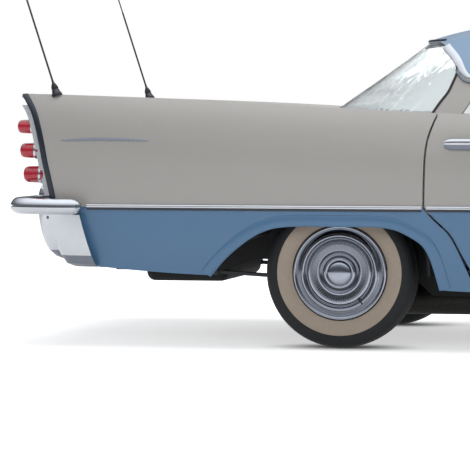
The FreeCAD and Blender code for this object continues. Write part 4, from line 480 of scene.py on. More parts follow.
side_tree = tree_of("quarter_right", "door_rear_right", "door_front_right", "fender_right")
roof_tree = tree_of("roof")
top_tree = tree_of("rear_panels", "quarter_left", "quarter_right", "trunk_lid", "cowl_panel", "fender_left",
                   "fender_right", "hood")
pane_tree = tree_of("windscreen", "rear_window")
lid_tree, hood_tree = tree_of("trunk_lid"), tree_of("hood")
nose_tree = tree_of("nose_panel", "fender_left", "fender_right")
print("search trees made")


# %% Paths that lie on the side of the body
def skin(x, z, side):
    """The point of the body side at a length and height, in millimetres, on the left (1) or right (-1)."""
    hit = side_tree.ray_cast(Vector((x / 1000, -2, z / 1000)), Vector((0, 1, 0)))[0]
    return Vector((hit.x, -side * hit.y, hit.z)) if hit else None


def outward(path, side):
    """The path in the direction that makes a swept section's first axis point away from the car."""
    return path[::-side]


def frame_at(place, along, outward):
    """A matrix at a place: x along the path, y outwards and z across."""
    outward = (outward - along * outward.dot(along)).normalized()
    top = outward.cross(along)
    return Matrix(((along.x, outward.x, top.x, place.x), (along.y, outward.y, top.y, place.y),
                   (along.z, outward.z, top.z, place.z), (0, 0, 0, 1)))


def direction(points, i):
    """The direction of a path at one of its points."""
    return (points[min(i + 1, len(points) - 1)] - points[max(i - 1, 0)]).normalized()


def side_frames(points, side, surface=side_tree):
    """Matrices on the body side from points in side view, in millimetres, with z across the path."""
    spots = []
    for point in points:
        hit, normal = surface.ray_cast(Vector((point[0] / 1000, -2, point[1] / 1000)), Vector((0, 1, 0)))[:2]
        if hit is None:
            continue
        normal = normal if normal.y < 0 else -normal
        if side == 1:
            hit, normal = Vector((hit.x, -hit.y, hit.z)), Vector((normal.x, -normal.y, normal.z))
        spots.append((hit, normal))
    spots = outward(spots, side)
    places = [place for place, normal in spots]
    return [frame_at(place, direction(places, i), normal) for i, (place, normal) in enumerate(spots)]


print("half width at the rear axle:", round(skin(REAR_AXLE_X, 700, 1).y, 4))

# %% [markdown]
# ## Shaping tools
# Three small tools make most of the trim. A turned piece is a profile spun round an axis. A swept piece is a section
# drawn as a face and extruded from one station of its path to the next. A rounded block is a cube, sized and bevelled.


# %% Turning
def turned(profile, place, axis, steps=32, closed=False, sharp_from=35):
    """Spins pairs of distance along an axis and radius, in millimetres, round that axis."""
    axis = Vector(axis).normalized()
    aside = axis.orthogonal().normalized()
    bm = bmesh.new()
    ring = [bm.verts.new(place + axis * (along / 1000) + aside * (radius / 1000)) for along, radius in profile]
    pairs = list(zip(ring, ring[1:])) + ([(ring[-1], ring[0])] if closed else [])
    edges = [bm.edges.new(pair) for pair in pairs]
    bmesh.ops.spin(bm, geom=ring + edges, cent=place, axis=axis, angle=2 * pi, steps=steps, use_merge=True)
    bmesh.ops.remove_doubles(bm, verts=bm.verts, dist=0.00001)
    bmesh.ops.recalc_face_normals(bm, faces=bm.faces)
    smooth(bm, sharp_from)
    return bm


def round_axle(co, centre):
    """A point's distance from an axle and its angle round it."""
    away = co - centre
    return (away.x ** 2 + away.z ** 2) ** 0.5, atan2(away.z, away.x)


# %% Sweeping
def stations(path, up=UP):
    """A matrix at each point of a path: its x axis runs along the path, y points outwards and z up."""
    return [frame_at(point, direction(path, i), direction(path, i).cross(up)) for i, point in enumerate(path)]


def swept(section, frames, sizes=None, sharp_from=40):
    """Extrudes a section of (out, up) pairs in millimetres through the stations, each with its own size."""
    sizes = sizes or [1.0] * len(frames)
    grown = [each @ Matrix.Diagonal((1, size, size, 1)) for each, size in zip(frames, sizes)]
    bm = bmesh.new()
    face = bm.faces.new([bm.verts.new(grown[0] @ mm(0, out, up)) for out, up in section])
    for before, after in zip(grown, grown[1:]):
        made = bmesh.ops.extrude_face_region(bm, geom=[face])["geom"]
        face = next(g for g in made if isinstance(g, bmesh.types.BMFace))
        move = after @ before.inverted()
        bmesh.ops.transform(bm, matrix=move, verts=[g for g in made if isinstance(g, bmesh.types.BMVert)])
    bmesh.ops.recalc_face_normals(bm, faces=bm.faces)
    smooth(bm, sharp_from)
    return bm


def round_section(radius, sides=12):
    return [(radius * cos(2 * pi * i / sides), radius * sin(2 * pi * i / sides)) for i in range(sides)]


def eased(points, per_run=6):
    """A smooth path through a few points, as a curve passes through them."""
    points = [Vector(p) for p in points]
    path = []
    for i in range(len(points) - 1):
        a, b = points[max(i - 1, 0)], points[i]
        c, d = points[i + 1], points[min(i + 2, len(points) - 1)]
        for k in range(per_run):
            t = k / per_run
            path.append(0.5 * ((2 * b) + (c - a) * t + (2 * a - 5 * b + 4 * c - d) * t * t
                               + (3 * b - a - 3 * c + d) * t ** 3))
    path.append(points[-1])
    return path


def round_one_end(half, level, per_run):
    """A smooth path round one end of the car, at one height, from (x, y) pairs of its left half."""
    points = [mm(x, y, level) for x, y in half]
    return eased(points + [Vector((p.x, -p.y, p.z)) for p in reversed(points[:-1])], per_run)


# %% Rounded blocks
def moved(bm, matrix):
    bmesh.ops.transform(bm, matrix=matrix, verts=bm.verts)
    return bm


def shift(*values):
    return Matrix.Translation(mm(*values))


def tilt(degrees, axis="Y"):
    return Matrix.Rotation(radians(degrees), 4, axis)


def rounded_block(low, high, radius, segments=3, turn=None):
    """A block between two corners in millimetres, with its edges rounded, and turned about its middle."""
    low, high = mm(*low), mm(*high)
    bm = bmesh.new()
    bmesh.ops.create_cube(bm, size=1, matrix=Matrix.Diagonal((*(high - low), 1)))
    bmesh.ops.bevel(bm, geom=bm.edges[:], offset=radius / 1000, affect="EDGES", segments=segments, profile=0.5,
                    material=-1)
    place = Matrix.Translation((low + high) / 2)
    moved(bm, place @ turn if turn else place)
    smooth(bm, 40)
    return bm


print("tools: turned, swept, rounded_block")

# %% [markdown]
# ## Tyres
# A bias-ply tyre of the time has a rounded sidewall, a cream whitewall band, and a tread of ribs with zigzag grooves.
# It is a turned shape, so its half section is drawn once and spun round the axle. The zigzag comes from moving every
# second step of the grooves sideways.

# %% Tyre profile
WHEELS = {end + "_" + hand: (mm(x, side * y, TYRE_RADIUS), side)
          for end, x, y in (("rear", REAR_AXLE_X, 758), ("front", FRONT_AXLE_X, 750)) for side, hand in HANDS}
GROOVE_DEPTH, TREAD_HALF, CROWN_DROP = 7, 73, 5
RIBS = (-52, -26, 0, 26, 52)
TREAD = []
for middle in RIBS:
    crown = TYRE_RADIUS - CROWN_DROP * (middle / TREAD_HALF) ** 2
    TREAD += [(middle - 10, crown), (middle + 9, crown)]
    if middle < RIBS[-1]:
        TREAD += [(middle + 10, crown - GROOVE_DEPTH), (middle + 15, crown - GROOVE_DEPTH)]
INNER_WALL = [(-66, 186), (-76, 200), (-95, 235), (-102, 262), (-101, 285), (-94, 303), (-84, 316), (-74, 321)]
OUTER_WALL = [(74, 321), (84, 316), (94, 303), (100, 287), (101, 272), (102.5, 270), (101, 250), (94, 228),
              (84, 208), (81, 206), (76, 200), (66, 186)]
print("tread ribs:", len(RIBS))

# %% Tyres with tread
TYRE_STEPS = 120
ZIGZAG = 0.0022
for name, (centre, side) in WHEELS.items():
    bm = turned(INNER_WALL + TREAD + OUTER_WALL, centre, (0, side, 0), TYRE_STEPS, closed=True, sharp_from=30)
    for vert in bm.verts:
        radius, angle = round_axle(vert.co, centre)
        if radius > 0.3145 and abs(vert.co.y - centre.y) < 0.060:
            vert.co.y += ZIGZAG * (1 if round(angle / (2 * pi) * TYRE_STEPS) % 2 else -1)
    pick(bm, lambda middle, normal: side * (middle.y - centre.y) > 0.07
         and 0.207 < round_axle(middle, centre)[0] < 0.271)
    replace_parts(add(bm, "tyre_" + name + "_tread", [rubber, whitewall], "wheel_" + name), "tyre_" + name)
print("tyre steps:", TYRE_STEPS)

# %% [markdown]
# ## Wheel covers
# The full cover is one chromed pressing: a rolled rim, a deep channel, a raised ring, a band of fine flutes round a
# sunken ring, and a dome in the middle. It is also spun. Each second step of the fluted band is raised, which presses
# the flutes into it. The channels and the low side of each flute take a darker chrome as painted shade, and the high
# side of each flute a mid chrome as painted light.

# %% Cover and rim profiles
COVER = [(78, 199), (82, 203), (86, 204), (89, 202), (90.5, 198), (89.5, 194), (85.5, 191), (85, 186), (89, 172),
         (94, 168), (98.5, 164), (100, 160), (98.5, 156), (93, 153), (88, 150), (86, 145), (87.5, 140), (91.5, 137),
         (94, 134), (93.5, 131), (92.8, 128), (91, 113), (89.5, 98), (90.6, 95), (91, 92), (88, 89), (84.5, 86),
         (83, 74), (86, 71), (92, 69.5), (96, 66), (98, 61), (97.5, 56), (96, 53.5), (98.5, 52), (102, 50),
         (106.5, 43), (110, 33), (112, 18), (112.8, 0)]
RIM = [(-96, 32.4), (-96, 143), (-94, 145), (-12, 145), (-12, 163), (-68, 165), (-72, 176), (-76, 188), (-72, 190),
       (-66, 184), (-60, 180), (60, 180), (66, 184), (74, 190), (78, 197), (76, 199), (40, 180), (12, 150), (8, 60),
       (8, 50), (-40, 32.4)]
FLUTES, FLUTE_HEIGHT, FLUTED_BAND = 72, 0.0026, (0.097, 0.1285)
# Rings of the cover that take the darker chrome as painted shade.
PAINTED_SHADE_RINGS = [(0.0715, 0.0895), (0.1385, 0.1555), (0.172, 0.1935)]
VALVE_ANGLE = radians(-53)
wheel_steel = finish("wheel_steel", (0.045, 0.047, 0.050), 0.5, metal=0.3, grain=90, spread=0.2, bump=0.15)
cover_chrome = finish("cover_chrome", (0.40, 0.43, 0.50), 0.08, metal=1.0, grain=30, spread=0.04, bump=0.02)
# A mid chrome for the high side of each flute: with the darker low side it paints light and shade onto the flutes.
lit_flute_chrome = finish("flute_chrome_painted_light", (0.26, 0.29, 0.34), 0.22, metal=1.0, grain=60, spread=0.06, bump=0.03)


def cover_finish(middle, centre):
    """0 for bright chrome, 1 for painted shade in a channel and on the low side of a flute, 2 for the flute's high
    side, painted light.
    """
    radius, angle = round_axle(middle, centre)
    fluted = FLUTED_BAND[0] < radius < FLUTED_BAND[1]
    shaded_flute_side = fluted and int((angle + pi) / pi * FLUTES) % 2
    if shaded_flute_side or any(low < radius < high for low, high in PAINTED_SHADE_RINGS):
        return 1
    return 2 if fluted else 0


print("flutes on each cover:", FLUTES)

# %% Covers, rims and valve notches
for name, (centre, side) in WHEELS.items():
    wheel = "wheel_" + name
    bm = turned(COVER, centre, (0, side, 0), 2 * FLUTES, sharp_from=50)
    for vert in bm.verts:
        radius, angle = round_axle(vert.co, centre)
        if FLUTED_BAND[0] < radius < FLUTED_BAND[1] and round(angle / pi * FLUTES) % 2:
            vert.co.y += side * FLUTE_HEIGHT
    pick(bm, lambda middle, normal: cover_finish(middle, centre))
    add(bm, "wheel_cover_" + name, [cover_chrome, shade_painted_chrome, lit_flute_chrome], wheel)
    bm = turned(RIM, centre, (0, side, 0), 72, closed=True, sharp_from=30)
    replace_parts(add(bm, "wheel_rim_" + name, wheel_steel, wheel), wheel)
    spot = centre + mm(152 * cos(VALVE_ANGLE), side * 92, 152 * sin(VALVE_ANGLE))
    turn = Matrix.Translation(spot) @ Matrix.Rotation(pi / 2 - VALVE_ANGLE, 4, "Y")
    notch = moved(rounded_block((-5, -8, -15), (5, 8, 15), 3, 2), turn)
    add(notch, "valve_notch_" + name, gasket, wheel)
print("wheels dressed:", len(WHEELS))

# %% [markdown]
# ## Side trim
# A bright moulding parts the two paints; its lower half is navy, a painted dark reflection. Above the rear wheel a soft
# flare is pressed into the panel round the opening, and a navy strip along the end of the fin is painted shade. Each is
# a section swept along a path on the skin.

# %% Side mouldings
MOULDING = [(-1, -12.5), (5, -13), (7.5, -10), (7.5, -3), (10.5, -2), (12.5, 2), (12, 7), (8, 11.5), (2, 13.5),
            (-1, 12.5)]
MOULDING_RUNS = [("quarter", -2424, -948, "car"), ("door_rear", -926, -72, "door_rear"),
                 ("door_front", -50, 755, "door_front"), ("fender", 775, 2560, "car")]
STATION_GAP = 60
for side, hand in HANDS:
    for title, start, stop, body in MOULDING_RUNS:
        count = max(6, int((stop - start) / STATION_GAP))
        path = outward(met([skin(x, TRIM_Z, side) for x in spaced(start, stop, count)]), side)
        # The lower half of the moulding is navy, a painted dark reflection.
        bm = pick(swept(MOULDING, stations(path)), lambda middle, normal: middle.z < 0.6066)
        body = body if body == "car" else body + "_" + hand
        add(bm, "side_moulding_" + title + "_" + hand, [chrome, shade_navy_paint], body)
print("moulding runs on each side:", len(MOULDING_RUNS))

# %% Arch flares
REAR_ARCH = [(-1912, 274), (-1827, 373), (-1748, 443), (-1652, 504), (-1537, 532), (-1302, 534), (-1107, 530),
             (-1004, 494), (-927, 426), (-875, 260), (-866, 215)]
FRONT_ARCH = [(1408, 212), (1453, 382), (1538, 532), (1678, 604), (1878, 612), (2078, 604), (2228, 532),
              (2328, 382), (2352, 300)]
FLARE = [(-16, -12), (3, -13), (6, -10), (8, -4), (8.4, 4), (7.2, 16), (4.0, 30), (1.0, 37), (-2, 38), (-2, -5),
         (-16, -7)]
FLARE_OFFSET = 8
for side, hand in HANDS:
    for title, arch in (("rear", REAR_ARCH), ("front", FRONT_ARCH)):
        points = eased(arch, 7)
        runs = [direction(points, i) for i in range(len(points))]
        lifted = [point + Vector((-run.y, run.x)) * FLARE_OFFSET for point, run in zip(points, runs)]
        bm = swept(FLARE, side_frames(lifted, side), sharp_from=60)
        add(bm, "arch_flare_" + title + "_" + hand, blue_paint, "car")
print("flares:", 4)

# %% Fin edges
FIN_EDGE = [(-2715, 1100), (-2670, 1030), (-2645, 960), (-2627, 884), (-2613, 808), (-2593, 714), (-2578, 640)]
EDGE_STRIP = [(-14, -15), (2, -15), (3.5, -12), (3.5, 8), (1, 11), (-3, 11), (-3, -8), (-14, -10)]
for side, hand in HANDS:
    # The strip is navy, painted shade along the end of the fin.
    bm = swept(EDGE_STRIP, side_frames(eased(FIN_EDGE, 5), side), sharp_from=50)
    add(bm, "fin_edge_" + hand, shade_navy_paint, "car")
print("fin edges:", 2)

# %% A plain spear on each fin
SPEAR = [(-1, -7), (2, -7), (5, 0), (2, 7), (-1, 7)]
SPEAR_REAR_X, SPEAR_LENGTH, SPEAR_Z, SPEAR_BOW = -2540, 400, 896, 6
for side, hand in HANDS:
    points = [(SPEAR_REAR_X + SPEAR_LENGTH * i / 20, SPEAR_Z + SPEAR_BOW * sin(pi * i / 20)) for i in range(21)]
    sizes = [0.12 + 0.88 * sin(pi * (i + 0.5) / 21.5) ** 0.6 for i in range(21)]
    add(swept(SPEAR, side_frames(points, side), sizes), "fin_spear_" + hand, shade_painted_chrome)
print("spears:", 2)

# %% [markdown]
# ## Bumpers
# The rear bumper is a slim blade with pointed ends and a groove along its middle. Below it a chromed valance in two
# overlapping pieces wraps round the tail. The front bumper is a deeper bar. Both have upright guards.

# %% Rear blade
REAR_BLADE = [(0, 36), (8, 33.5), (16, 28), (23, 19), (28, 10), (29, 4), (22, 2.5), (22, -3.5), (29, -5),
              (28, -11), (23, -20), (16, -28), (6, -34), (-4, -36), (-14, -30), (-14, 30), (-8, 35)]
REAR_BLADE_Z = 611
REAR_HALF = [(-2440, 976), (-2500, 978), (-2570, 974), (-2650, 957), (-2714, 928), (-2754, 874), (-2769, 790),
             (-2771, 600), (-2771, 400), (-2772, 200), (-2772, 0)]
path = round_one_end(REAR_HALF, REAR_BLADE_Z, 5)


def blade_size(point):
    """The blade is full from a thumb's width behind its rounded end."""
    reach = min(1.0, abs(point.x + 2.436) / 0.050)
    return max(0.12, (1 - (1 - reach) ** 2) ** 0.5)


bm = swept(REAR_BLADE, stations(path), [blade_size(p) for p in path])
# The faces in the groove take the darker chrome, painted shade in the groove.
pick(bm, lambda middle, normal: abs(middle.z - 0.6105) < 0.006)
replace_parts(add(bm, "rear_bumper_blade", [chrome, shade_painted_chrome]), "rear_bumper")
print("blade stations:", len(path))

# %% Rear valance, middle
VALANCE_MAIN = [(6, -34), (4, -60), (-6, -117), (-20, -160), (-38, -194), (-69, -222), (-113, -239), (-116, -234),
                (-74, -215), (-46, -188), (-29, -156), (-16, -114), (-6, -60), (-4, -34)]
MAIN_HALF = [(-2560, 924), (-2602, 908), (-2645, 868), (-2670, 800), (-2682, 700), (-2688, 500), (-2692, 250),
             (-2693, 0)]


def shade_low(bm, level):
    """The valance's tucked-under part is in the shade."""
    return pick(bm, lambda middle, normal: middle.z < level)


bm = shade_low(swept(VALANCE_MAIN, stations(round_one_end(MAIN_HALF, REAR_BLADE_Z, 4))), 0.405)
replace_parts(add(bm, "rear_valance_middle", [chrome, shade_painted_chrome]), "rear_bumper")
print("valance half path:", len(MAIN_HALF), "points")

# %% Rear valance, ends and bolts
VALANCE_END = [(10, -37), (9, -98), (4, -160), (-8, -215), (-26, -252), (-60, -266), (-62, -262), (-34, -246),
               (-16, -212), (-4, -160), (0, -98), (0, -37)]
END_PATH = [(-2450, 951), (-2480, 948), (-2520, 940), (-2560, 926), (-2588, 910), (-2606, 890)]
END_RAKE, RAKED_BELOW = 0.27, 0.574
for side, hand in HANDS:
    path = outward(eased([mm(x, side * y, REAR_BLADE_Z) for x, y in END_PATH], 3), -side)
    bm = shade_low(swept(VALANCE_END, stations(path)), 0.392)
    for vert in bm.verts:
        vert.co.x += END_RAKE * max(0.0, RAKED_BELOW - vert.co.z)
    add(bm, "rear_valance_end_" + hand, [chrome, shade_painted_chrome])
    bolt = turned([(-2, 9), (4, 9), (7, 6), (8, 0)], mm(-2604, side * 906, 560), (-0.75, side * 0.66, 0), 20)
    add(bolt, "valance_bolt_" + hand, shade_painted_chrome)
print("valance ends:", 2)

# %% Front blade
FRONT_BLADE = [(0, 58), (12, 56), (22, 48), (28, 34), (30, 16), (28, 2), (22, -6), (22, -12), (28, -20), (27, -38),
               (20, -52), (8, -58), (-6, -58), (-14, -46), (-14, 46), (-8, 56)]
FRONT_HALF = [(2430, 972), (2520, 962), (2600, 934), (2665, 880), (2710, 800), (2738, 680), (2752, 500),
              (2761, 250), (2765, 0)]
FRONT_BLADE_Z = 470
path = list(reversed(round_one_end(FRONT_HALF, FRONT_BLADE_Z, 5)))
sizes = [max(0.35, min(1.0, ((p.x - 2.430) / 0.10) ** 0.5)) if p.x > 2.431 else 0.35 for p in path]
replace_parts(add(swept(FRONT_BLADE, stations(path), sizes), "front_bumper_blade", chrome), "front_bumper")
print("front blade stations:", len(path))

# %% Guards
GUARD = [(-26, -8), (-24, 10), (-18, 22), (-8, 28), (8, 28), (18, 22), (24, 10), (26, -8)]
GUARD_SIZES = [0.30, 0.72, 0.92, 1.0, 1.0, 1.0, 0.94, 0.78, 0.34]
GUARD_Y = 340
for title, x, low, high, facing in (("rear", -2776, 548, 690, -1), ("front", 2772, 392, 566, 1)):
    for side, hand in HANDS:
        path = [mm(x, side * GUARD_Y, z) for z in spaced(low, high, 8)]
        frames = [Matrix(((0, 0, facing, p.x), (0, 1, 0, p.y), (1, 0, 0, p.z), (0, 0, 0, 1))) for p in path]
        add(swept(GUARD, frames, GUARD_SIZES, 50), title + "_guard_" + hand, chrome)
print("guards:", 4)

# %% Bumper irons and the blank number plate
IRON = [(-7, -34), (7, -34), (7, 34), (-7, 34)]
IRON_RUNS = {"rear_iron": (560, [(-2376, 340), (-2466, 340), (-2512, 400), (-2552, 490), (-2592, 580),
                                 (-2650, 606), (-2762, 609)]),
             "front_iron": (372, [(2501, 306), (2590, 318), (2660, 380), (2706, 452), (2748, 470)])}
for side, hand in HANDS:
    for title, (y, run) in IRON_RUNS.items():
        path = eased([mm(x, side * y, z) for x, z in run], 4)
        add(swept(IRON, stations(path, Vector((0, 1, 0)))), title + "_" + hand, underbody, "car")
plate_white = finish("plate_enamel", (0.55, 0.55, 0.52), 0.4, grain=90, spread=0.05)
for title, low, high, x, made in (("number_plate_blank", (-4, -152, -76), (4, 152, 76), -2702, plate_white),
                                  ("number_plate_frame", (-6, -160, -84), (2, 160, 84), -2696, chrome)):
    add(moved(rounded_block(low, high, 3, 2, tilt(8)), shift(x, 0, 500)), title, made)
print("irons and plate made")

# %% [markdown]
# ## Tail lamps
# Three bullet lenses stand one above the other on a chromed strip in the end of each fin. Each lens is red glass with
# a nearly flat end, in a thin polished ring.

# %% Lenses and rings
LENSES = {"top": (-2696, 957, 33, 64), "middle": (-2682, 852, 36, 67), "low": (-2660, 748, 40, 74)}
LENS_Y = 836
BULLET_REACH = 65.3
BULLET = [(-20, 0), (-20, 0.94), (-2, 0.94), (2, 0.93), (20, 0.92), (38, 0.90), (48, 0.87), (55, 0.80), (60, 0.66),
          (63, 0.46), (64.6, 0.20), (BULLET_REACH, 0)]
RING = [(-10, 0.90), (-10, 1.02), (-3, 1.03), (0, 1.0), (1, 0.97), (-1, 0.945), (-4, 0.93)]
lens_red = see_through(finish("red_lens_glass", (0.56, 0.006, 0.030), 0.12, coat=0.8, grain=30, spread=0.05,
                              bump=0.02), 0.25, 1.5)
for side, hand in HANDS:
    for level, (x, z, radius, reach) in LENSES.items():
        spot = mm(x, side * LENS_Y, z)
        glass = turned([(back * reach / BULLET_REACH, share * radius) for back, share in BULLET], spot, BACK, 48)
        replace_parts(add(glass, "lens_" + level + "_" + hand, lens_red, "car"), "tail_lamp_lenses")
        ring = turned([(back, share * radius) for back, share in RING], spot, BACK, 48, closed=True)
        add(ring, "lens_ring_" + level + "_" + hand, chrome)
print("lenses:", 2 * len(LENSES))

# %% [markdown]
# ## Glass and its edges
# The windscreen and the wrap-round rear window are CAD shapes with a clear, very slightly green material. Their edges
# show as much as the glass does: a bright moulding at the foot, a black gasket up the pillar, and a dark drip moulding
# along the roof.

# %% Window glass
clear_glass = see_through(finish("window_glass", (0.89, 0.93, 0.94), 0.02, grain=6, spread=0.01, bump=0.0,
                                 rough_spread=0.01), 0.93, 1.45)
for title in ("windscreen", "rear_window"):
    panel(title, title + "_glass", [clear_glass])
print("panes:", 2)


# %% Mouldings at the foot of the glass
def inward_shot(surface, level, angle, axis_x):
    """The point of a surface at a height, seen inwards at an angle round an upright axis, and the way out."""
    way = Vector((cos(radians(angle)), sin(radians(angle)), 0))
    return surface.ray_cast(Vector((axis_x, 0, level)) + way * 3, -way)[0], way


def glass_foot(angle, axis_x):
    """Where the glass meets the body at an angle."""
    level = 1.02
    for _ in range(3):
        place, way = inward_shot(pane_tree, level, angle, axis_x)
        if place is None:
            return None
        below = top_tree.ray_cast(place + way * 0.012 + Vector((0, 0, 0.3)), DOWN)[0]
        if below is None:
            return place
        level = below.z + 0.006
    return place


FOOT = [(-10, -6), (-10, 12), (-5, 17), (1, 15), (9, 6), (15, -1), (17, -6)]
REAR_AXIS_X, FRONT_AXIS_X = -0.5, 0.2
for title, first, last, axis_x in (("rear", 122, 238, REAR_AXIS_X), ("front", -50, 50, FRONT_AXIS_X)):
    path = met([glass_foot(angle, axis_x) for angle in spaced(first, last, 40)])
    for _ in range(2):
        path = [path[0]] + [(a + 2 * b + c) / 4 for a, b, c in zip(path, path[1:], path[2:])] + [path[-1]]
    add(swept(FOOT, stations(path), sharp_from=50), "glass_foot_" + title, chrome)
    print(title, "glass foot from", [round(c, 3) for c in path[0]], "by", [round(c, 3) for c in path[20]])

# %% Edges of the glass and the roof
BACK_EDGE = [(-931, 1014), (-903, 1058), (-869, 1105), (-849, 1150), (-835, 1192), (-838, 1225), (-847, 1250),
             (-866, 1280), (-884, 1302)]
SCREEN_EDGE = [(832, 988), (792, 1052), (720, 1142), (642, 1232), (600, 1284), (584, 1304)]
DRIP = [(-864, 1246), (-848, 1226), (-832, 1196), (-812, 1168), (-786, 1152), (-762, 1153), (-742, 1174),
        (-700, 1240), (-662, 1298), (-636, 1322), (-590, 1336), (-400, 1341), (-100, 1343), (200, 1341),
        (430, 1335), (505, 1326), (560, 1300), (624, 1226), (700, 1130), (757, 1052)]
PLATE_RUN = [(-890, 1306), (-869, 1282), (-847, 1257), (-827, 1226), (-809, 1196), (-786, 1174), (-758, 1168)]
PLATE = [(-3, -19), (3, -18), (5, -12), (5, 12), (3, 18), (-3, 19)]
HALF_ROUND = [(-4, -6), (2, -5.5), (4.5, 0), (2, 5.5), (-4, 6)]
GUTTER = [(-4, -9), (6, -9), (9, -7), (9, -3), (4, -1), (4, 5), (-4, 7)]
EDGES = [("back_gasket", BACK_EDGE, HALF_ROUND, gasket), ("screen_gasket", SCREEN_EDGE, HALF_ROUND, gasket),
         ("drip_moulding", DRIP, GUTTER, shade_painted_chrome)]
for side, hand in HANDS:
    for title, edge, section, made in EDGES:
        bm = swept(section, side_frames(eased(edge, 5), side, roof_tree), sharp_from=50)
        add(bm, title + "_" + hand, made)
    frames = side_frames(eased(PLATE_RUN, 3), side, roof_tree)
    sizes = [1.0 - 0.62 * max(0.0, i / (len(frames) - 1) - 0.45) / 0.55 for i in range(len(frames))]
    add(swept(PLATE, frames, outward(sizes, side), 50), "pillar_plate_" + hand, chrome)
print("edges on each side:", len(EDGES) + 1)

# %% Mouldings along the headers
HEADER = [(-5, -9), (3, -8), (6, 0), (3, 7), (-5, 9)]
HEADER_Z = 1.331
for title, first, last, axis_x, made in (("back_header_moulding", 124, 236, REAR_AXIS_X, shade_painted_chrome),
                                         ("screen_header_moulding", -46, 46, FRONT_AXIS_X, chrome)):
    path = met([inward_shot(roof_tree, HEADER_Z, angle, axis_x)[0] for angle in spaced(first, last, 32)])
    add(swept(HEADER, stations(path), sharp_from=50), title, made)
    print(title, "points:", len(path))

# %% Rubber seals between the doors
for side, hand in HANDS:
    for body, x in (("door_rear_" + hand, -61.2), ("door_front_" + hand, 765.0)):
        y0, y1 = sorted((side * 856, side * 905))
        seal = rounded_block((x - 3.0, y0, 540), (x + 2.6, y1, 936), 2, 2)
        add(seal, "edge_seal_" + body, gasket, body)
print("door seals:", 4)

# %% Wipers
WIPER = [(-4, -3), (4, -3), (5, 6), (0, 9), (-5, 6)]
for side, hand in HANDS:
    base = [glass_foot(side * angle, FRONT_AXIS_X) for angle in range(6, 30, 2)]
    path = outward([p + mm(14, 0, 34 - 1.2 * i) for i, p in enumerate(base) if p is not None], -side)
    add(swept(WIPER, stations(path)), "wiper_blade_" + hand, gasket, "car")
    middle = path[len(path) // 2]
    foot = middle + mm(52, side * 60, -22)
    arm = eased([foot, foot + mm(-4, -side * 14, 18), middle + mm(6, side * 8, 12), middle + mm(2, 0, 6)], 4)
    add(swept(round_section(4, 8), stations(arm, Vector((1, 0, 0.2)))), "wiper_arm_" + hand, shade_painted_chrome)
print("wipers:", 2)

# %% [markdown]
# ## Handles, belt and boot trim
# The handles are bowed bars that bridge a hollow for the fingers. The belt has a bright bead where the window glass
# winds out, and the boot lid has a bar to lift it by.

# %% Door handles
HANDLE = [(-12, -23), (-5, -25), (0, -20), (3.5, -9), (4, -3), (6, 0), (6.5, 8), (4, 17), (-2, 22), (-12, 22)]
HANDLE_SIZES = [0.55, 0.86, 0.98] + [1.0] * 7 + [0.98, 0.86, 0.55]
HANDLE_REAR_X = {"door_front": 10, "door_rear": -844}
HANDLE_Z = 884
for side, hand in HANDS:
    for door, rear_x in HANDLE_REAR_X.items():
        body = door + "_" + hand
        path = [mm(rear_x - 6 + 162 * i / 12, side * (999 + 3 * sin(pi * i / 12)), HANDLE_Z) for i in range(13)]
        bm = swept(HANDLE, stations(outward(path, side)), HANDLE_SIZES, 50)
        # The lower half of each handle takes the darker chrome, painted shade under the bar.
        pick(bm, lambda middle, normal: middle.z < 0.8815)
        add(bm, "door_handle_" + body, [chrome, shade_painted_chrome], body)
        button = turned([(-12, 9), (3, 9), (5, 7), (5.5, 0)], mm(rear_x + 170, side * 970, HANDLE_Z),
                        (0, side, 0), 24)
        add(button, "door_button_" + body, chrome, body)
print("handles:", 4)

# %% Belt mouldings
BEAD = [(-6, -4), (6, -4), (7, 2), (4, 7), (-4, 7), (-7, 2)]
for side, hand in HANDS:
    for door, start, stop in (("door_front", -40, 700), ("door_rear", -760, -84)):
        body = door + "_" + hand
        door_tree = tree_of(body)
        path = met([struck(door_tree, (x, side * 868, 1200), DOWN) for x in spaced(start, stop, 15)])
        path = outward([p for p in path if p.z > 0.96], side)
        add(swept(BEAD, stations(path)), "belt_bead_" + body, chrome, body)
print("belt beads:", 4)

# %% Boot handle, lock and fuel flap
HANDLE_BAR = [(-8, -9), (4, -10), (11, -5), (12, 4), (6, 11), (-8, 9)]
path = [struck(lid_tree, (-3200, y, 748), FORWARD) + mm(-6, 0, 0) for y in spaced(330, -330, 24)]
sizes = [0.4, 0.75] + [1.0] * 21 + [0.75, 0.4]
add(swept(HANDLE_BAR, stations(path), sizes, 50), "boot_handle_bar", chrome, "trunk_lid")
lock_place = struck(lid_tree, (-3200, 0, 800), FORWARD)
lock = turned([(-4, 22), (3, 22), (6, 19), (6, 9), (3, 8), (3, 0)], lock_place, (-1, 0, 0.25), 28)
add(lock, "boot_lock", chrome, "trunk_lid")
FLAP = [(-6, 70), (-6, 74), (1.5, 74), (3, 71), (1.2, 68), (2.4, 40), (3, 0)]
add(turned(FLAP, skin(-2150, 760, 1), (0, 1, 0.06), 48), "fuel_flap", grey_paint, "car")
print("boot handle and flap made")

# %% Driver's mirror
MIRROR = [(26, 0), (25, 20), (18, 42), (6, 56), (-8, 60), (-14, 60), (-16, 57), (-13, 54), (-12, 0)]
add(turned(MIRROR, mm(600, 935, 1092), (1, 0.10, 0.05), 36), "mirror_head", chrome, "door_front_left")
stem = eased([mm(610, 905, 1004), mm(606, 912, 1020), mm(604, 926, 1040)], 5)
add(swept(round_section(9), stations(stem, FORWARD)), "mirror_stem", chrome, "door_front_left")
print("mirror made")

# %% [markdown]
# ## The nose
# Each headlamp is a glass with fine flutes in front of a mirror bowl, held by a bright bezel. The grille keeps its CAD
# bars. A bead runs down the middle of the bonnet, and a lip of chrome closes its front edge.

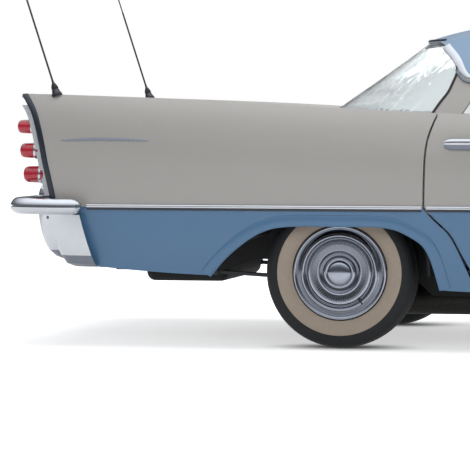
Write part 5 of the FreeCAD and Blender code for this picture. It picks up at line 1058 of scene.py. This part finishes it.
# %% Headlamps
BEZEL = [(-62, 63.5), (-6, 63.5), (0, 62), (2.5, 59), (0, 55.5), (-9, 53), (-14, 51.5), (-62, 51.5)]
BOWL = [(-13, 51.5), (-24, 48), (-38, 38), (-50, 22), (-55, 8), (-56, 0), (-59, 0), (-58, 10), (-54, 26),
        (-42, 42), (-26, 51.4)]
DOME = [(1.5, 0), (0.5, 18), (-3, 34), (-8, 46), (-11, 51), (-14, 51), (-9, 44), (-5.5, 32), (-2.5, 16), (-2, 0)]
GLASS_FLUTE, GLASS_FLUTE_PITCH = 0.0008, 0.012
lamp_glass = see_through(finish("lamp_glass", (0.86, 0.90, 0.92), 0.05, coat=0.5, grain=30, spread=0.03,
                                bump=0.05), 0.85, 1.45)
for side, hand in HANDS:
    for title, x, y in (("outer", 2674, 800), ("inner", 2694, 655)):
        spot, ending = mm(x, side * y, 765), title + "_" + hand
        bezel = add(turned(BEZEL, spot, FORWARD, 56, closed=True), "headlamp_bezel_" + ending, chrome)
        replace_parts(bezel, "headlamps")
        add(turned(BOWL, spot, FORWARD, 48), "headlamp_bowl_" + ending, chrome)
        bm = turned(DOME, spot, FORWARD, 96, sharp_from=60)
        for vert in bm.verts:
            away = vert.co - spot
            if away.x > -0.010 and (away.y ** 2 + away.z ** 2) ** 0.5 < 0.047:
                vert.co.x += GLASS_FLUTE * cos(away.y * 2 * pi / GLASS_FLUTE_PITCH)
        add(bm, "headlamp_glass_" + ending, lamp_glass, "car")
print("headlamps:", 4)

# %% Bonnet bead, lip and grille screen
path = met([struck(hood_tree, (x, 0, 1400), DOWN) for x in spaced(1260, 2630, 24)])
sizes = [0.4] + [1.0] * (len(path) - 1)
add(swept([(-7, -3), (-5, 3), (0, 7), (5, 3), (7, -3)], stations(path), sizes), "bonnet_bead", chrome, "hood")
path = met([struck(hood_tree, (2636, y, 1400), DOWN) for y in spaced(-545, 545, 24)])
add(swept([(-10, -4), (-8, 3), (0, 6), (9, 3), (11, -4)], stations(path)), "bonnet_lip", chrome, "hood")
screen = rounded_block((2602, -534, 544), (2608, 534, 682), 2, 2)
add(screen, "grille_screen", underbody, "car")
print("bonnet trim made")

# %% Parking lamps
amber = finish("amber_lens", (0.75, 0.60, 0.40), 0.15, coat=0.7, grain=30, spread=0.05)
PARKING_LENS = [(-8, 44), (6, 44), (12, 38), (16, 24), (17, 0)]
PARKING_RING = [(-8, 43), (-8, 51), (8, 51), (11, 48), (9, 44)]
for side, hand in HANDS:
    spot, way = struck(nose_tree, (3200, side * 720, 610), BACK), (1, side * 0.2, 0)
    add(turned(PARKING_LENS, spot, way, 40), "parking_lens_" + hand, amber, "car")
    add(turned(PARKING_RING, spot, way, 40, closed=True), "parking_ring_" + hand, chrome)
print("parking lamps:", 2)

# %% [markdown]
# ## Aerials
# Two raked masts stand on the fins. The CAD node has the masts. A black rubber foot and a bright collar go over each
# base.

# %% Aerial feet
LEAN = radians(18)
mast_way = Vector((-sin(LEAN), 0, cos(LEAN)))
CONE = [(-8, 24), (1, 23.5), (6, 21), (11, 15), (17, 13), (26, 15.5), (34, 15), (44, 11), (52, 7), (56, 4.6),
        (58, 0)]
COLLAR = [(54, 4), (56, 5.4), (62, 5.2), (66, 4.3), (440, 4.1), (444, 3.0), (446, 2.0)]
for side, hand in HANDS:
    foot = mm(-2574, side * 872, 1097.9)
    add(turned(CONE, foot, mast_way, 32), "aerial_foot_" + hand, gasket, "car")
    add(turned(COLLAR, foot, mast_way, 24), "aerial_collar_" + hand, mast_steel)
print("aerials:", 2)

# %% [markdown]
# ## Seats
# Both benches are sprung cushions under cloth and vinyl. Each cushion starts as its side outline, pushed across the
# car and a little smaller than it will be. It is remeshed evenly, and a cloth simulation with air pressure swells it,
# which rounds its sides and pulls its corners in. The sewn channels are pressed in afterwards.

# %% Cushion blocks
# Each row is a side outline, half the width in millimetres, and the CAD node that the cushion stands for.
CUSHIONS = {
    "front_cushion": ([(-205, 520), (295, 520), (312, 545), (300, 578), (262, 586), (-165, 566)], 672,
                      "front_seat"),
    "front_back": ([(-355, 522), (-262, 522), (-212, 590), (-277, 925), (-302, 942), (-342, 935), (-358, 905)],
                   672, "front_seat"),
    "rear_cushion": ([(-1125, 530), (-655, 530), (-632, 552), (-645, 594), (-690, 600), (-1100, 576)], 568,
                     "rear_seat"),
    "rear_back": ([(-1302, 530), (-1178, 530), (-1150, 596), (-1236, 868), (-1262, 892), (-1302, 892)], 568,
                  "rear_seat")}
VOXEL, PRESSURE, CAP = 0.013, 4.0, 0.022


def applied(piece):
    """The piece's mesh with its modifiers worked in. The modifiers are removed from the piece."""
    bpy.context.view_layer.update()
    mesh = bpy.data.meshes.new_from_object(piece.evaluated_get(bpy.context.evaluated_depsgraph_get()))
    piece.modifiers.clear()
    return mesh


def cushion_block(name, outline, half):
    """The starting shape: the outline pushed across the car and evenly remeshed."""
    bm = bmesh.new()
    face = bm.faces.new([bm.verts.new(mm(x, -half, z)) for x, z in outline])
    made = bmesh.ops.extrude_face_region(bm, geom=[face])["geom"]
    corners = [g for g in made if isinstance(g, bmesh.types.BMVert)]
    bmesh.ops.translate(bm, vec=mm(0, 2 * half, 0), verts=corners)
    bmesh.ops.recalc_face_normals(bm, faces=bm.faces)
    bmesh.ops.bevel(bm, geom=bm.edges[:], offset=0.018, affect="EDGES", segments=2, profile=0.5, material=-1)
    piece = piece_from(bm, name)
    remesh = piece.modifiers.new("even_mesh", "REMESH")
    remesh.mode = "VOXEL"
    remesh.voxel_size = VOXEL
    piece.data = applied(piece)
    return piece


cushions = {name: cushion_block(name, outline, half) for name, (outline, half, stands_for) in CUSHIONS.items()}
print("cushion vertices:", {name: len(piece.data.vertices) for name, piece in cushions.items()})

# %% Air pressure
starts = {name: [v.co.copy() for v in piece.data.vertices] for name, piece in cushions.items()}
for piece in cushions.values():
    air = piece.modifiers.new("air", "CLOTH")
    air.settings.use_pressure = True
    air.settings.uniform_pressure_force = PRESSURE
    air.settings.effector_weights.gravity = 0
for step in range(1, 21):
    scene.frame_set(step)
for name, piece in cushions.items():
    swollen = bpy.data.meshes.new_from_object(piece.evaluated_get(bpy.context.evaluated_depsgraph_get()))
    piece.modifiers.clear()
    for vert, start in zip(swollen.vertices, starts[name]):
        move = vert.co - start
        if move.length > CAP:
            vert.co = start + move.normalized() * CAP
    piece.data = swollen
scene.frame_set(1)
print("swollen by at most", CAP, "m")

# %% Sewn channels and seams
PLEAT_PITCH, PLEAT_DEPTH, PLEAT_WIDTH = 0.075, 0.007, 0.006
SEAM_DEPTH, SEAM_WIDTH, SEAM_FROM_END = 0.009, 0.007, 0.125
BACK_TOPS = {"front_back": 0.90, "rear_back": 0.86}


def channels(co, half):
    """How deep the sewn channels are at a point: pleats in the middle and a seam towards each end."""
    off_pleat = abs((co.y / PLEAT_PITCH) % 1 - 0.5) * PLEAT_PITCH
    pleat = PLEAT_DEPTH * exp(-(off_pleat / PLEAT_WIDTH) ** 2) if abs(co.y) < half - 0.14 else 0.0
    seam = SEAM_DEPTH * exp(-((abs(co.y) - (half - SEAM_FROM_END)) / SEAM_WIDTH) ** 2)
    return pleat + seam


def is_vinyl(name, middle, normal, half):
    """The ends, the front of a cushion and the rear and top of a back are vinyl, and the rest is cloth."""
    if abs(middle.y) > half - SEAM_FROM_END:
        return True
    if name in BACK_TOPS:
        return normal.x < 0.2 or middle.z > BACK_TOPS[name]
    return normal.z < 0.35


for name, piece in cushions.items():
    half = CUSHIONS[name][1] / 1000
    finer = piece.modifiers.new("finer", "SUBSURF")
    finer.levels = finer.render_levels = 1
    mesh = applied(piece)
    bm = bmesh.new()
    bm.from_mesh(mesh)
    bm.normal_update()
    facing = (Vector((1, 0, 0.3)) if name in BACK_TOPS else Vector((0.35, 0, 1))).normalized()
    pressed = [(v, v.normal * channels(v.co, half)) for v in bm.verts if v.normal.dot(facing) > 0.45]
    for vert, move in pressed:
        vert.co -= move
    pick(bm, lambda middle, normal: is_vinyl(name, middle, normal, half))
    for face in bm.faces:
        face.smooth = True
    bm.to_mesh(mesh)
    bm.free()
    mesh.materials.append(seat_cloth)
    mesh.materials.append(seat_vinyl)
    piece.data = mesh
    on_body(piece, "car")
    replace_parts(piece, CUSHIONS[name][2])
print("cushion faces:", {name: len(piece.data.polygons) for name, piece in cushions.items()})

# %% Seat bases and their chrome ends
for title, low, high in (("front_seat_base", (-190, -640, 340), (290, 640, 516)),
                         ("rear_seat_base", (-920, -560, 342), (-650, 560, 526))):
    add(rounded_block(low, high, 14, 3), title, seat_vinyl, "car")
for side, hand in HANDS:
    y0, y1 = sorted((side * 668, side * 684))
    add(rounded_block((-330, y0, 470), (240, y1, 520), 7, 3), "seat_side_shield_" + hand, chrome)
print("seat bases made")

# %% [markdown]
# ## Inside the doors and behind the wheel
# Each trim panel has an armrest, a window crank and a release handle on it, with two bright strips. The dashboard has
# a hooded pod with round dials, a radio with two knobs, and a glovebox. The dials carry plain marks only.


# %% Door trim
def dress_door(body, side, rear_x, front_x):
    """Puts the strips, the armrest, the window crank and the release handle on a door's trim panel."""
    inner, inward = tree_of(body), -side

    def card(x, z):
        """A point of the trim panel."""
        return struck(inner, (x, 0, z), (0, side, 0))

    def bar(points, radius, name):
        add(swept(round_section(radius, 10), stations(eased(points, 5))), name + body, chrome, body)

    for title, z in (("high", 860), ("low", 560)):
        path = [p for p in met([card(x, z) for x in spaced(rear_x, front_x, 12)]) if 0.7 < abs(p.y) < 0.9]
        if len(path) > 3:
            strip = [(-2, -7), (2, -7), (4, -3), (4, 3), (2, 7), (-2, 7)]
            bm = swept(strip, stations(outward(path, -side)), sharp_from=50)
            add(bm, "door_strip_" + title + "_" + body, chrome, body)
    wall = card((rear_x + front_x) / 2, 700)
    y0, y1 = sorted((1000 * wall.y + inward * 62, 1000 * wall.y + side * 2))
    rest = rounded_block((rear_x + 90, y0, 668), (rear_x + 380, y1, 718), 20, 4)
    add(rest, "armrest_" + body, seat_vinyl, body)
    spot = card(rear_x + 190, 600)
    boss = turned([(-2, 22), (8, 22), (14, 16), (20, 15), (22, 0)], spot, (0, inward, 0), 28)
    add(boss, "crank_boss_" + body, chrome, body)
    bar([spot + mm(0, inward * 17, 0), spot + mm(40, inward * 26, 22), spot + mm(86, inward * 28, 46)], 6,
        "crank_arm_")
    knob = turned([(0, 7), (4, 12), (18, 13), (28, 10), (31, 0)], spot + mm(86, inward * 26, 46),
                  (0, inward, 0), 24)
    add(knob, "crank_knob_" + body, pearl, body)
    release = card(rear_x + 470, 800)
    bar([release + mm(x, inward * y, z) for x, y, z in ((0, 4, 0), (-8, 24, 2), (-60, 28, 4), (-96, 22, 2))], 7,
        "release_lever_")


for side, hand in HANDS:
    dress_door("door_front_" + hand, side, 70, 690)
    dress_door("door_rear_" + hand, side, -720, -130)
print("doors trimmed:", 4)

# %% Dashboard dials and pod
DIALS = [("speed", 300, 46), ("clock", 420, 46), ("left_small", 505, 26), ("right_small", 214, 26)]
DIAL_X, DIAL_Z, DIAL_MARKS = 640, 856, 11
dial_face = finish("dial_face", (0.030, 0.035, 0.040), 0.4, coat=0.6, grain=200, spread=0.1)
dial_way = Vector((-1, 0, 0.12)).normalized()
pod = rounded_block((636, 175, 800), (712, 545, 912), 26, 5)
add(pod, "instrument_pod", dash_paint, "car")
for title, y, radius in DIALS:
    spot = mm(DIAL_X, y, DIAL_Z)
    ring = [(-6, radius - 3), (-6, radius + 5), (6, radius + 4), (9, radius), (5, radius - 4)]
    add(turned(ring, spot, dial_way, 48, closed=True), "dial_ring_" + title, chrome)
    disc = [(-4, radius - 2), (3, radius - 2), (4, radius - 6), (3.4, 0)]
    add(turned(disc, spot, dial_way, 48), "dial_face_" + title, dial_face, "car")
    for i in range(DIAL_MARKS):
        turn = tilt(7) @ Matrix.Rotation(-radians(225 - 27 * i), 4, "X")
        place = Matrix.Translation(spot + dial_way * 0.0045) @ turn @ shift(0, radius - 11, 0)
        tick = moved(rounded_block((-1, -1, -3), (1, 1, 3), 0.4, 1), place @ Matrix.Rotation(pi / 2, 4, "X"))
        add(tick, "dial_mark_%s_%d" % (title, i), pearl, "car")
    needle = rounded_block((-1, -1, 0), (1, 1, radius - 10), 0.4, 1)
    moved(needle, Matrix.Translation(spot + dial_way * 0.006) @ tilt(-50, "X"))
    add(needle, "dial_needle_" + title, lens_red, "car")
print("dials:", len(DIALS))

# %% Radio, glovebox and bright strip
for title, low, high, radius, made in (
        ("radio_face", (648, -90, 800), (672, 90, 868), 8, shade_painted_chrome),
        ("glovebox_door", (650, -560, 770), (674, -200, 880), 10, dash_paint),
        ("ashtray", (650, -60, 744), (676, 60, 776), 6, chrome),
        ("glovebox_knob", (638, -392, 818), (656, -368, 832), 5, chrome)):
    add(rounded_block(low, high, radius, 3), title, made, "car")
for side, hand in reversed(HANDS):
    knob = turned([(-6, 13), (10, 13), (16, 10), (18, 0)], mm(652, side * 112, 834), BACK, 24)
    add(knob, "radio_knob_" + hand, pearl, "car")
path = [mm(663, y, 772) for y in spaced(740, -740, 20)]
add(swept([(-3, -6), (4, -6), (7, 0), (4, 6), (-3, 6)], stations(path)), "dash_strip", chrome)
print("dashboard dressed")

# %% Inside mirror and pedals
add(rounded_block((588, -105, 1246), (604, 105, 1296), 7, 4), "inside_mirror", chrome)
stem = eased([mm(604, 0, 1285), mm(618, 0, 1306), mm(626, 0, 1330)], 4)
add(swept(round_section(6, 10), stations(stem, Vector((0, 1, 0)))), "inside_mirror_stem", chrome)
for title, y, width in (("brake", 300, 90), ("clutch", 420, 60), ("throttle", 200, 50)):
    pedal = rounded_block((-8, -width / 2, -40), (8, width / 2, 40), 6, 3, tilt(-35))
    add(moved(pedal, shift(905, y, 440)), "pedal_" + title, gasket, "car")
    stalk = eased([mm(905, y, 450), mm(940, y, 560), mm(990, y, 680)], 4)
    bm = swept(round_section(6, 8), stations(stalk, Vector((0, 1, 0))))
    add(bm, "pedal_stalk_" + title, underbody, "car")
print("pedals:", 3)

# %% Horn ring and hub
hub, column = mm(430, 360, 875), Vector((-0.8707, 0, 0.4918))
ring = [(3 + 4 * cos(2 * pi * i / 12), 118 + 4 * sin(2 * pi * i / 12)) for i in range(12)]
add(turned(ring, hub, column, 64, closed=True), "horn_ring", chrome, "steering_wheel")
horn_cap = turned([(14, 36), (20, 38), (26, 34), (30, 22), (32, 0)], hub, column, 40)
add(horn_cap, "horn_cap", pearl, "steering_wheel")
lower = column.cross(Vector((0, 1, 0))).normalized()
lower = lower if lower.z < 0 else -lower
for title, way in (("left", Vector((0, 1, 0))), ("right", Vector((0, -1, 0))), ("low", lower)):
    spoke = eased([hub + way * out + column * back for out, back in ((0.030, 0.016), (0.075, 0.010), (0.118, 0.004))],
                  3)
    bm = swept([(-5, -9), (5, -9), (7, 0), (5, 9), (-5, 9)], stations(spoke, column))
    add(bm, "horn_spoke_" + title, chrome, "steering_wheel")
print("horn ring made")

# %% [markdown]
# ## Under the bonnet
# The engine itself is one plain block in the CAD model. What shows when the bonnet is up is what stands on it: two
# ribbed rocker covers, the round air cleaner, the fan, the battery and the radiator's cap.

# %% Rocker covers and air cleaner
iron = finish("cast_iron", (0.085, 0.090, 0.095), 0.55, metal=0.6, grain=180, spread=0.25, bump=0.4, depth=0.001)
enamel = finish("engine_enamel", (0.24, 0.26, 0.27), 0.4, metal=0.2, coat=0.2, grain=90, spread=0.12, bump=0.1)
cover_blue = finish("rocker_cover_blue", (0.060, 0.170, 0.300), 0.35, coat=0.4, grain=90, spread=0.08, bump=0.08)
for side, hand in HANDS:
    y0, y1 = sorted((side * 70, side * 178))
    cover = rounded_block((1545, y0, 752), (2005, y1, 808), 16, 4)
    add(cover, "rocker_cover_" + hand, cover_blue, "car")
    for i in range(5):
        nut = turned([(-2, 9), (6, 9), (10, 6), (11, 0)], mm(1590 + 92 * i, side * 124, 808), UP, 6)
        add(nut, "rocker_nut_%s_%d" % (hand, i), chrome)
CLEANER = [(0, 60), (2, 150), (8, 168), (34, 170), (44, 164), (50, 140), (54, 60), (58, 18), (64, 14), (66, 0)]
carburettor_top = mm(1770, 0, 806)
add(turned(CLEANER, carburettor_top, UP, 56), "air_cleaner", underbody, "car")
neck = turned([(-46, 52), (2, 52), (4, 60)], carburettor_top, UP, 32)
add(neck, "carburettor_neck", iron, "car")
print("engine covers and air cleaner made")

# %% Fan, battery, radiator cap and hose
FAN_CENTRE = (2092, 0, 560)
for i in range(4):
    blade = rounded_block((-4, -42, 40), (4, 42, 205), 3, 2, tilt(28, "Z"))
    moved(blade, shift(*FAN_CENTRE) @ Matrix.Rotation(i * pi / 2, 4, "X"))
    add(blade, "fan_blade_%d" % i, iron, "car")
fan_hub = turned([(-44, 44), (6, 44), (10, 30), (12, 0)], mm(*FAN_CENTRE), FORWARD, 32)
add(fan_hub, "fan_hub", iron, "car")
add(rounded_block((1090, -420, 560), (1350, -250, 760), 8, 3), "battery", gasket, "car")
for x in (1130, 1310):
    post = turned([(0, 10), (16, 9), (17, 0)], mm(x, -300, 759), UP, 20)
    add(post, "battery_post_%d" % x, iron, "car")
radiator_cap = turned([(-8, 20), (8, 24), (14, 24), (16, 0)], mm(2410, 180, 832), UP, 28)
add(radiator_cap, "radiator_cap", chrome)
hose = eased([mm(2385, -120, 790), mm(2300, -110, 800), mm(2160, -60, 790), mm(2050, -20, 740)], 8)
add(swept(round_section(22, 16), stations(hose)), "top_hose", gasket, "car")
print("engine dressed")

# %% [markdown]
# ## Finishes for the CAD nodes that stay
# The frame, floor and running gear keep their CAD shapes. They get the finish of the real part: black chassis paint,
# bare iron, aluminised pipe, and loop carpet on the top of the floor.

# %% Finishes on CAD nodes
housing_silver = finish("housing_silver", (0.70, 0.73, 0.76), 0.30, metal=0.5, grain=60, spread=0.03)
pipe_steel = finish("pipe_steel", (0.045, 0.042, 0.040), 0.5, metal=0.6, grain=120, spread=0.3, bump=0.3)
carpeted = by_height(finish("carpeted_floor", (0.020, 0.020, 0.021), 0.85, grain=300, spread=0.25, bump=0.5,
                            depth=0.002), 0.3292, (0.055, 0.075, 0.105))
STAYS = [(underbody, ["frame_rails", "cross_members", "firewall", "rear_wheelhouses", "inner_fenders", "fuel_tank",
                      "radiator"]),
         (carpet, ["tunnel", "boot_floor", "rear_bulkhead"]), (carpeted, ["cabin_floor"]),
         (iron, ["rear_axle", "front_suspension", "knuckle_left", "knuckle_right"]),
         (enamel, ["powertrain"]), (pipe_steel, ["exhaust"]), (chrome, ["grille"]),
         (housing_silver, ["tail_lamp_housings"]), (mast_steel, ["aerials"]), (dash_paint, ["dashboard"]),
         (pearl, ["steering_wheel"])]
for made, titles in STAYS:
    for title in titles:
        kept = bpy.data.objects[title]
        for slot in kept.material_slots:
            slot.material = made
        if not kept.material_slots:
            kept.data.materials.append(made)
print("nodes with a finish:", sum(len(titles) for made, titles in STAYS))
